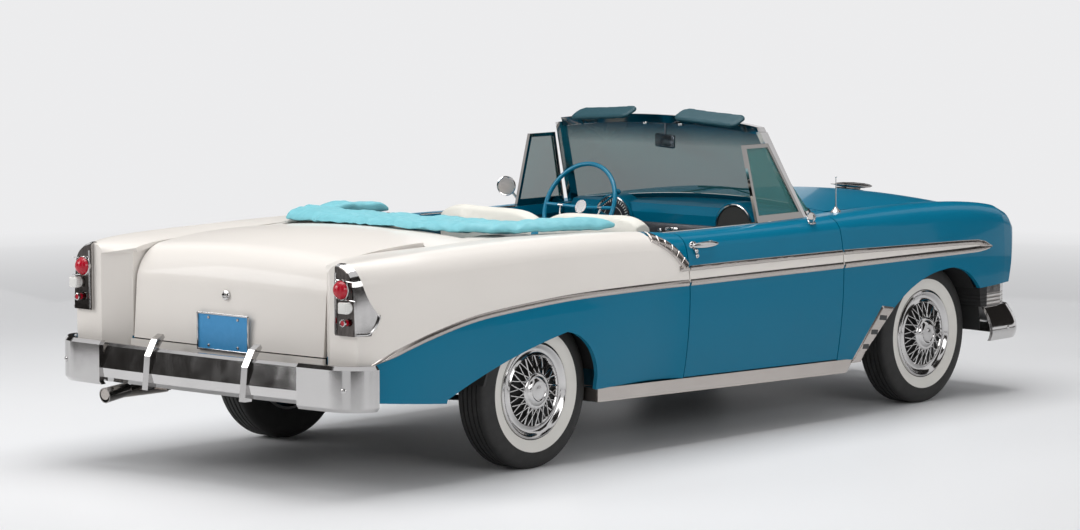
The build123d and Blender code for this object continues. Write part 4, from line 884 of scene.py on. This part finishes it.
def wheelCover(name, x, y, side, body):
    # stepped bright ring, crossed wires and a round centre cap
    bm = bmesh.new()
    centre, axis = spot(x, side * y, axleHeight), (0, side, 0)
    turned(bm, cover["ring"], centre, axis, 96)
    turned(bm, cover["cap"], centre, axis, 64)
    place = facing(centre, axis)

    def end(radius, angle, level):
        r = radius / 1000
        return place @ Vector((r * math.cos(angle), r * math.sin(angle), level / 1000))

    for i in range(cover["wires"]):
        for lean, level in ((cover["lean"], 0), (-cover["lean"], 5)):
            low = math.radians(i * 360 / cover["wires"])
            high = low + math.radians(lean)
            start = end(cover["inner"], low, 84 + level * 0.4)
            bar(bm, start, end(cover["outer"], high, 64 + level), 3.0, 3.4, 6)
    makePiece("wheelCover_" + name, bm, chrome, body, 40)


# half of a tyre's section, in radius and distance from its middle, and the places of its grooves
tyreHalf = [(194.5, -56), (206, -66), (217, -70), (245, -80), (275, -84), (302, -83), (322, -79),
            (334, -72), (340, -66), (343, -58)]
grooves = (-38, -13, 13, 38)
grooveFoot = 336


def tyre(name, x, y, side, body):
    # round-shouldered tyre with four grooves cut round its tread
    rows = list(tyreHalf)
    top = tyreHalf[-1][0]
    for at in grooves:
        rows += [(top, at - 3.5), (grooveFoot, at - 2.5), (grooveFoot, at + 2.5), (top, at + 3.5)]
    rows += [(r, -h) for r, h in reversed(tyreHalf)]
    rows.append(rows[0])
    bm = bmesh.new()
    turned(bm, rows, spot(x, side * y, axleHeight), (0, side, 0), 112)
    piece = makePiece("tyre_" + name, bm, rubberOf("rubber_" + name, alongCar(x), side), body, 30)
    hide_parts("tyre_" + name)


wheelPlaces = {"front": (frontAxle, 736.5), "rear": (0, 748)}

for name, side in bodySide.items():
    sideMouldings(name)
    gravelShield(name)
    doorHardware(name)
    sideMirror(name)
    wheelLiner(name)
    for end, (x, y) in wheelPlaces.items():
        wheelCover(end + "_" + name, x, y, side, end + "_wheel_" + name)
        tyre(end + "_" + name, x, y, side, end + "_wheel_" + name)
antenna()
hoodOrnament()
wipers()
print("trim and wheels made")


def tube(bm, points, radius, sides=10):
    # a round tube along some points
    way = bpy.data.curves.new("way", "CURVE")
    way.dimensions = "3D"
    way.bevel_depth = radius / 1000
    way.bevel_resolution = sides // 4
    way.use_fill_caps = True
    line = way.splines.new("NURBS")
    line.points.add(len(points) - 1)
    for point, at in zip(line.points, points):
        point.co = (*at, 1)
    line.order_u = 3
    line.use_endpoint_u = True
    line.resolution_u = 5
    holder = putInScene("way", way)
    mesh = bpy.data.meshes.new_from_object(holder.evaluated_get(bpy.context.evaluated_depsgraph_get()))
    bm.from_mesh(mesh)
    bpy.data.objects.remove(holder)
    bpy.data.curves.remove(way)
    bpy.data.meshes.remove(mesh)


def lensFinish():
    # clear lens with small square flutes
    f = Finish("clearLensFinish", (0.72, 0.71, 0.68), 0.12)
    flutes = (f.z * 700).wave() * (f.y * 700).wave()
    f.give("Base Color", f.blend(flutes * 0.5 + 0.5, (0.55, 0.54, 0.51), (0.82, 0.81, 0.78)))
    f.bump(flutes, 0.0008, 0.5)
    return f.material


clearLens = lensFinish()
tailRim = {
    "rings": [((-1174, 790, 874), 41), ((-1191, 812, 738), 14)],
    # the housing's edge in the side view, from its foot round the bulge to its top
    "edge": [(-1160, 690), (-1128, 689), (-1098, 692), (-1084, 704), (-1068, 728), (-1058, 748), (-1060, 768),
             (-1070, 800), (-1084, 842), (-1098, 886), (-1112, 928), (-1124, 956)],
    "innerX": -1170, "innerY": 752, "innerZ": (944, 860, 780, 688),
    "finX": -1168, "finY": (756, 862), "finZ": (914, 838), "finDrop": 8,
    "lens": ((-1207, 798, 778), (-1180, 848, 826)),
}


def tailTrim(name):
    # bright rings round the lenses, the housing's rim, its fins and the reversing lens
    side = bodySide[name]
    bm = bmesh.new()
    for (x, y, z), r in tailRim["rings"]:
        turned(bm, [(r - 3, -6), (r - 3, 2), (r - 1, 4), (r + 2, 2), (r + 3, -6)], spot(x, side * y, z),
               (-1, 0, 0), 40)
    tree = surfaceOf("tail_lamps")
    hits = [fromSide(tree, side, x, z) for x, z in tailRim["edge"]]
    tube(bm, [hit + Vector((0, side * 0.004, 0)) for hit in hits if hit is not None], 6)
    tube(bm, [spot(tailRim["innerX"], side * tailRim["innerY"], z) for z in tailRim["innerZ"]], 5)
    near, far = tailRim["finY"]
    for z in tailRim["finZ"]:
        start, end = (tailRim["finX"], side * near, z), (tailRim["finX"], side * far, z - tailRim["finDrop"])
        bar(bm, spot(*start), spot(*end), 3, 3, 8)
    makePiece("tailRims_" + name, bm, chrome, "body")
    lens = bmesh.new()
    low, high = [(x, side * y, z) for x, y, z in tailRim["lens"]]
    rounded(lens, low, high, 6, 3)
    makePiece("reversingLens_" + name, lens, clearLens, "body")


def lampRims(name):
    # bright ring round each headlamp
    bm = bmesh.new()
    centre = spot(headlamp["x"], bodySide[name] * headlamp["y"], headlamp["z"])
    turned(bm, headlamp["rim"], centre, (1, 0, 0), 64)
    makePiece("headlampRim_" + name, bm, chrome, "body")


# the left side's bolts: the bumper, a point out from it and the way to it
bolts = [("rear_bumper", (-1600, 850, 462), (1, 0, 0)), ("front_bumper", (4000, 560, 330), (-1, 0, 0)),
         ("front_bumper", (3480, 1400, 335), (0, -1, 0))]
boltHead = [(0, 7), (7, 6), (11, 3), (12, -3)]


def bumperBolts():
    # round-headed bolts where the bumpers are held
    bm = bmesh.new()
    for side in (1, -1):
        for node, (x, y, z), (ahead, across, up) in bolts:
            way = Vector((ahead, side * across, up))
            hit, normal, _, _ = surfaceOf(node).ray_cast(spot(x, side * y, z), way)
            if hit is not None:
                turned(bm, boltHead, hit, normal if normal.dot(way) < 0 else -normal, 24)
    makePiece("bumperBolts", bm, chrome, "body")


plate = {
    "faceX": -1088, "half": 158, "rim": 8, "low": 548, "high": 712, "boltY": 89, "boltZ": (569.5, 690.5),
    "bolt": [(0, 5), (5, 4.5), (7, 2), (7, -1)], "lockAt": (-1074, 0, 790),
    "lock": [(0, 12), (9, 11), (12, 8), (13, 2), (20, 0), (22, -3), (22, -12)],
}


def plateFittings():
    # raised frame round the blank plate with its four bolts, and the small lock above it
    bm = bmesh.new()
    face, half, rim, low, high = [plate[key] for key in ("faceX", "half", "rim", "low", "high")]
    for left, foot, right, head in ((-half, low, half, low + rim), (-half, high - rim, half, high),
                                    (-half, low, rim - half, high), (half - rim, low, half, high)):
        rounded(bm, (face - 5, left, foot), (face + 1, right, head), 2)
    for y in (-plate["boltY"], plate["boltY"]):
        for z in plate["boltZ"]:
            turned(bm, plate["bolt"], spot(face + 1, y, z), (-1, 0, 0), 20)
    makePiece("plateFrame", bm, chrome, "trunk_lid")
    lock = bmesh.new()
    turned(lock, plate["lock"], spot(*plate["lockAt"]), (-1, 0, 0.1), 32)
    makePiece("lidLock", lock, chrome, "trunk_lid")


mouth = {"at": (-1238, 560, 330),
         "rows": [(27.5, -110), (31, -100), (33, 0), (34, 26), (30, 26), (26, -20), (0, -24)]}


def exhaustTip():
    # flared dark tip over the end of the pipe
    bm = bmesh.new()
    turned(bm, mouth["rows"], spot(*mouth["at"]), (-1, 0, -0.12), 32)
    makePiece("exhaustTip", bm, bronzed, "body")


dash = {
    "faceX": 1957, "y": 380, "z": 905, "radius": 122, "ticks": (0.084, 0.102), "circle": (0.060, 0.0625),
    "bandLow": (1957, -262, 838), "bandHigh": (1990, 262, 902),
    "knobY": (236, 70, -62, 196), "knobZ": 866, "radioLow": (1949, -36, 852), "radioHigh": (1960, 44, 884),
    "knob": [(0, 24), (9, 23), (12, 19), (12, 6), (7, 4), (7, -4)],
}


def gaugeFinish():
    # dark dial with pale ticks round its upper half
    f = Finish("gaugeFinish", (0.012, 0.012, 0.014), 0.3)
    y, z = dash["y"] / 1000, dash["z"] / 1000
    gone = f.away(y=y, z=z)
    angle = f.z.maths("ARCTAN2", f.z - z, f.y - y)
    ticks = ((angle * 42).wave() > 0.55) * f.within(gone, *dash["ticks"])
    marks = (ticks + f.within(gone, *dash["circle"])).clamped()
    dial = f.blend(f.noise(30.0), (0.01, 0.01, 0.012), (0.02, 0.02, 0.024))
    f.give("Base Color", f.blend(marks, dial, (0.7, 0.7, 0.66)))
    f.bump(f.noise(300.0), 0.0002, 0.3)
    return f.material


def speakerFinish():
    # perforated cover of the speaker opposite the gauges
    f = Finish("speakerFinish", (0.02, 0.02, 0.02), 0.5, 0.2)
    holes = (f.y * 900).wave() * (f.z * 900).wave() > 0.25
    f.give("Base Color", f.blend(holes, (0.035, 0.032, 0.028), (0.006, 0.006, 0.006)))
    f.bump(1 - holes, 0.001, 0.6)
    return f.material


def bandFinish():
    # dark band with a fine upright rib
    f = Finish("dashBandFinish", (0.05, 0.05, 0.055), 0.3, 0.7)
    ribs = (f.y * 1300).wave() * 0.5 + 0.5
    f.give("Base Color", f.blend(ribs, (0.02, 0.02, 0.024), (0.16, 0.16, 0.17)))
    f.bump(ribs, 0.0006, 0.5)
    return f.material


def dashFittings():
    # half-round gauge and speaker, the dark band between them and its knobs
    x, z, r = dash["faceX"], dash["z"], dash["radius"]
    shapes = {
        "Face": [(0, 3), (r - 22, 3), (r - 18, 0), (r - 17, -4)],
        "Ring": [(r - 19, 3), (r - 17, 9), (r - 12, 11), (r - 8, 8), (r - 8, -3)],
    }
    rounds = (("gauge", dash["y"], gaugeFinish()), ("speaker", -dash["y"], speakerFinish()))
    for name, y, own in rounds:
        for part, finish, slot, steps in (("Face", own, "trim_blue", 48), ("Ring", chrome, "chrome", 72)):
            bm = bmesh.new()
            turned(bm, shapes[part], spot(x, y, z), (-1, 0, 0), steps)
            bmesh.ops.bisect_plane(bm, geom=bm.verts[:] + bm.edges[:] + bm.faces[:],
                                   plane_co=spot(x, y, z + 1), plane_no=(0, 0, -1), clear_outer=True)
            makePiece(name + part, bm, finish, "body")
    band = bmesh.new()
    rounded(band, dash["bandLow"], dash["bandHigh"], 4)
    makePiece("dashBand", band, bandFinish(), "body")
    knobs = bmesh.new()
    for y in dash["knobY"]:
        turned(knobs, dash["knob"], spot(x, y, dash["knobZ"]), (-1, 0, 0), 24)
    rounded(knobs, dash["radioLow"], dash["radioHigh"], 3)
    makePiece("dashKnobs", knobs, chrome, "body")


lining = {
    "rear": 985, "front": 2060, "y": 829, "thick": 6.5, "low": 400, "top": 838,
    "armrest": ((1180, 832, 620), (1480, 776, 664)), "strip": (656, 668), "stripThick": 4,
    "winder": [(0, 26), (14, 24), (18, 14), (12, 8), (22, 2), (24, -2)], "winderAt": (1700, 829, 720),
    # crank, its knob and the inside handle: two ends with the radius at each
    "bars": [(1700, 808, 720, 6, 1640, 800, 676, 5), (1640, 802, 676, 8, 1640, 776, 676, 9),
             (1860, 816, 760, 7, 1790, 812, 772, 5)],
}


def doorLining(name):
    # ribbed lower half, plain top, armrest, handle and winder
    side = bodySide[name]
    rear, front, y = lining["rear"], lining["front"], lining["y"]
    body = "door_" + name
    bm = bmesh.new()
    rounded(bm, (rear, side * (y + lining["thick"]), lining["low"]), (front, side * y, lining["top"]), 3)
    makePiece("doorLining_" + name, bm, doorVinyl, body)
    rest = bmesh.new()
    low, high = [(a, side * b, c) for a, b, c in lining["armrest"]]
    rounded(rest, low, high, 20, 4)
    makePiece("armrest_" + name, rest, doorVinyl, body)
    metal = bmesh.new()
    foot, head = lining["strip"]
    rounded(metal, (rear, side * y, foot), (front, side * (y - lining["stripThick"]), head), 2)
    x, across, z = lining["winderAt"]
    turned(metal, lining["winder"], spot(x, side * across, z), (0, -side, 0), 28)
    for x1, y1, z1, r1, x2, y2, z2, r2 in lining["bars"]:
        bar(metal, spot(x1, side * y1, z1), spot(x2, side * y2, z2), r1, r2)
    makePiece("doorFittings_" + name, metal, chrome, body)


visor = {"inner": 110, "outer": 505, "blockX": (1872, 1892), "blockZ": (1386, 1402), "halfWidth": 12}


def visorBrackets():
    # two blocks with arms near the middle and an arm at each end
    bm = bmesh.new()
    rear, front = visor["blockX"]
    low, high = visor["blockZ"]
    for y in (visor["inner"], -visor["inner"]):
        rounded(bm, (rear, y - visor["halfWidth"], low), (front, y + visor["halfWidth"], high), 3)
        bar(bm, spot(1880, y, 1398), spot(1850, y * 1.25, 1428), 6, 5)
    for y in (visor["outer"], -visor["outer"]):
        bar(bm, spot(rear, y, 1372), spot(1836, y, 1404), 6, 5)
    makePiece("visorBrackets", bm, chrome, "body")


mirrorGlass = plated("mirrorGlass", (0.11, 0.13, 0.15), 0.06, metal=0.8)
inner = {"half": 96, "low": 1276, "high": 1342, "thick": (2, 22), "turn": -24, "stem": (1330, 1396),
         "ball": 1326}


def insideMirror():
    # mirror turned towards the driver, on a stem from the frame's head
    bm = bmesh.new()
    low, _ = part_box("inside_mirror")
    x = (low[0] - rearAxleX) * 1000
    near, far = inner["thick"]
    rounded(bm, (x + near, -inner["half"], inner["low"]), (x + far, inner["half"], inner["high"]), 9, 3,
            Matrix.Rotation(math.radians(inner["turn"]), 3, "Z"))
    foot, head = inner["stem"]
    bar(bm, spot(x + 14, 0, foot), spot(x + 14, 0, head), 6, 6)
    ball(bm, spot(x + far, 0, inner["ball"]), 13)
    piece = makePiece("insideMirror", bm, mirrorGlass, "body")
    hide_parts("inside_mirror")


for name in bodySide:
    tailTrim(name)
    lampRims(name)
    doorLining(name)
bumperBolts()
plateFittings()
exhaustTip()
dashFittings()
visorBrackets()
insideMirror()
print("lamps, plate and cabin fittings made")


def unit(value):
    return max(0, min(1, value))


def hump(y, middle, half, power):
    # 1 at the middle of each seat, falling to 0 at its edges
    return 1 - min(1, abs((abs(y) - middle) / half)) ** power


def crownBack(v):
    # the backs rise in a bolster towards the middle of each seat
    across = hump(v.y, 0.33, 0.315, 5)
    rise = unit((v.z - 0.86) / 0.14)
    return Vector((v.x - 0.012 * rise * across, v.y, v.z + (0.058 * across - 0.020) * rise))


def crownCushion(v):
    across = hump(v.y, 0.30, 0.30, 3)
    return Vector((v.x, v.y, v.z + 0.018 * across * unit((v.z - 0.52) / 0.06)))


def drapeBoot(v):
    # the cover's arms reach forward over the belt, its hem waves and its cloth wrinkles
    x, y, z = v.x - rearAxleX, v.y, v.z
    reach = unit((x - 0.10) / 0.33)
    x += 0.20 * reach * reach
    out = unit((abs(y) - 0.55) / 0.2)
    y += math.copysign(0.022 * out, y)
    hem = unit((1.045 - z) / 0.03)
    flow = noise.noise(Vector((x * 7, y * 9, 2.0)))
    fine = noise.noise(Vector((x * 24, y * 30, 7.0)))
    x += -0.018 * flow * hem
    y += math.copysign(0.014 * flow * hem, y)
    z += 0.012 * flow + 0.007 * fine - 0.014 * max(0, reach - 0.5)
    return Vector((x + rearAxleX, y, max(z, 1.004 + 0.003 * fine)))


seatPad = {"voxel": 0.012, "shrink": 0.010, "cap": 0.018, "fill": 0.8, "slot": "upholstery"}
pads = {
    "front_seat_backs": {**seatPad, "voxel": 0.011, "shrink": 0.008, "cap": 0.022, "material": backVinyl,
                         "form": crownBack},
    "front_seat_cushion": {**seatPad, "material": cushionVinyl, "form": crownCushion},
    "rear_seat_back": {**seatPad, "material": rearBackVinyl},
    "rear_seat_cushion": {**seatPad, "material": rearCushionVinyl, "form": crownCushion},
    "sun_visors": {"voxel": 0.005, "shrink": 0.001, "cap": 0.004, "fill": 0.9, "slot": "visor",
                   "material": tealVinyl},
    "top_boot": {"voxel": 0.010, "shrink": 0.004, "cap": 0.006, "fill": 0.4, "slot": "boot_fabric",
                 "material": bootVinyl, "form": drapeBoot},
}
swell = {"pressure": 4, "steps": 20, "smoothings": 6}


def applyModifiers(piece):
    shape = bpy.data.meshes.new_from_object(piece.evaluated_get(bpy.context.evaluated_depsgraph_get()))
    piece.modifiers.clear()
    piece.data = shape


def padFrom(node, size):
    # remesh a copy of the CAD solid, draw it in a little, and swell it under pressure with a cap
    bm = bmesh.new()
    bm.from_mesh(nodes[node].data)
    bmesh.ops.remove_doubles(bm, verts=bm.verts, dist=0.0001)
    piece = putInScene(node + "Pad", meshFrom(node + "Pad", bm))
    remesh = piece.modifiers.new("remesh", "REMESH")
    remesh.mode = "VOXEL"
    remesh.voxel_size = size["voxel"]
    applyModifiers(piece)
    bm = bmesh.new()
    bm.from_mesh(piece.data)
    for _ in range(swell["smoothings"]):
        bmesh.ops.smooth_vert(bm, verts=bm.verts, factor=0.5, use_axis_x=True, use_axis_y=True,
                              use_axis_z=True)
    bm.normal_update()
    for vert in bm.verts:
        vert.co -= vert.normal * size["shrink"]
        if "form" in size:
            vert.co = size["form"](vert.co)
    bm.to_mesh(piece.data)
    bm.free()
    rest = [v.co.copy() for v in piece.data.vertices]
    cloth = piece.modifiers.new("cloth", "CLOTH")
    cloth.settings.use_pressure = True
    cloth.settings.uniform_pressure_force = swell["pressure"]
    cloth.settings.effector_weights.gravity = 0
    for step in range(swell["steps"]):
        bpy.context.scene.frame_set(step + 1)
    applyModifiers(piece)
    bpy.context.scene.frame_set(1)
    for vert, start in zip(piece.data.vertices, rest):
        move = vert.co - start
        if move.length > size["cap"]:
            vert.co = start + move * (size["cap"] / move.length)
    piece.data.materials.clear()
    piece.data.materials.append(size["material"])
    finer = piece.modifiers.new("finer", "SUBSURF")
    finer.levels = finer.render_levels = 1
    applyModifiers(piece)
    piece.data.polygons.foreach_set("use_smooth", [True] * len(piece.data.polygons))
    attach(piece, "body")
    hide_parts(node)
    print(node, "padded", len(piece.data.polygons))


for node, size in pads.items():
    padFrom(node, size)
print("soft pieces made")

studio = {
    "floorRadius": 60.0, "fadeFrom": 5.0, "fadeTo": 11.0, "floorTone": (0.74, 0.74, 0.745),
    "background": (0.84, 0.84, 0.85), "worldColour": (0.80, 0.81, 0.83), "worldStrength": 0.55,
    # place, aim, width, height and power of each lamp
    "lamps": {
        "overhead": ((0, 0, 6.5), (0, 0, 0), 7.0, 5.0, 430),
        "leftKey": ((-7.0, 4.5, 4.2), (-1, 0, 0.6), 4.0, 3.0, 240),
        "nearFill": ((-3.0, -9.0, 3.4), (0, 0, 0.6), 6.0, 2.5, 150),
    },
}


def layFloor():
    # pale floor that fades into the background
    bm = bmesh.new()
    bmesh.ops.create_circle(bm, cap_ends=True, segments=96, radius=studio["floorRadius"])
    floor = putInScene("floor", meshFrom("floor", bm))
    f = Finish("floorPaint", studio["floorTone"], 0.4, Specular_IOR_Level=0.06)
    f.give("Roughness", f.noise(0.8, 3.0) * 0.1 + 0.35)
    gone = f.away(x=0, y=0)
    share = ((gone - studio["fadeFrom"]) / (studio["fadeTo"] - studio["fadeFrom"])).clamped()
    glow = f.make("Emission", {}, Color=studio["background"])
    mixer = f.make("MixShader", {}, share, f.out(f.shader), f.out(glow))
    f.tree.links.new(mixer.outputs[0], f.tree.nodes["Material Output"].inputs[0])
    floor.data.materials.append(f.material)


# rows are the radius and height of a cloth's edges
flag = {"count": 9, "wide": 25, "first": 6, "wall": [(11, 0.9), (11, 8), (9, 9.5)],
        "floor": [(6.4, 0.015), (10, 0.015)]}


def hangFlags():
    # dark cloths round the studio and on its floor, which only reflections see
    bm = bmesh.new()
    for i in range(flag["count"]):
        turn = Matrix.Rotation(math.radians(flag["first"] + i * 360 / flag["count"]), 3, "Z")
        for rows in (flag["wall"], flag["floor"]):
            verts = [bm.verts.new(turn @ Vector((r, 0, h))) for r, h in rows]
            edges = [bm.edges.new(pair) for pair in zip(verts, verts[1:])]
            bmesh.ops.spin(bm, geom=verts + edges, cent=(0, 0, 0), axis=(0, 0, 1), dvec=(0, 0, 0),
                           angle=math.radians(flag["wide"]), steps=12, use_merge=False)
    flags = putInScene("flags", meshFrom("flags", bm))
    f = Finish("flagCloth", (0.03, 0.027, 0.025), 1.0, Specular_IOR_Level=0.0)
    flags.data.materials.append(f.material)
    flags.visible_camera = False
    flags.visible_diffuse = False
    flags.visible_shadow = False
    flags.visible_transmission = False


def lightStudio():
    # soft lamps, a dim world on the object, and the background's tone for what the camera and gloss see
    world = bpy.data.worlds.new("studio")
    bpy.context.scene.world = world
    world.use_nodes = True
    tree = world.node_tree
    plain = tree.nodes["Background"]
    plain.inputs[0].default_value = (*studio["worldColour"], 1)
    plain.inputs[1].default_value = studio["worldStrength"]
    seen = tree.nodes.new("ShaderNodeBackground")
    seen.inputs[0].default_value = (*studio["background"], 1)
    rays = tree.nodes.new("ShaderNodeLightPath").outputs
    either = Term(tree, rays["Is Camera Ray"])
    for name in ("Is Glossy Ray", "Is Transmission Ray"):
        either = either.maths("MAXIMUM", either, Term(tree, rays[name]))
    mixer = tree.nodes.new("ShaderNodeMixShader")
    for inlet, socket in zip(mixer.inputs, (either.socket, plain.outputs[0], seen.outputs[0])):
        tree.links.new(socket, inlet)
    tree.links.new(mixer.outputs[0], tree.nodes["World Output"].inputs[0])
    for name, (at, to, wide, tall, power) in studio["lamps"].items():
        data = bpy.data.lights.new(name, "AREA")
        data.shape = "RECTANGLE"
        data.size = wide
        data.size_y = tall
        data.energy = power
        lamp = putInScene(name, data)
        lamp.location = at
        lamp.rotation_euler = (Vector(to) - Vector(at)).to_track_quat("-Z", "Y").to_euler()


# worked out from the photograph: place in metres, and turns in degrees
viewpoint = {"lens": 129.6, "shift": (-0.0032, 0.0007), "at": (-13.893, -11.930, 2.522), "tilt": 84.468,
             "turn": -48.854}


def setCamera():
    data = bpy.data.cameras.new("viewpoint")
    data.sensor_fit = "HORIZONTAL"
    data.sensor_width = 36
    data.lens = viewpoint["lens"]
    data.shift_x, data.shift_y = viewpoint["shift"]
    data.clip_end = 200
    camera = putInScene("viewpoint", data)
    camera.location = viewpoint["at"]
    camera.rotation_euler = (math.radians(viewpoint["tilt"]), 0, math.radians(viewpoint["turn"]))
    bpy.context.scene.camera = camera


layFloor()
hangFlags()
lightStudio()
setCamera()
bpy.context.scene.view_settings.view_transform = "Standard"
print("studio set")
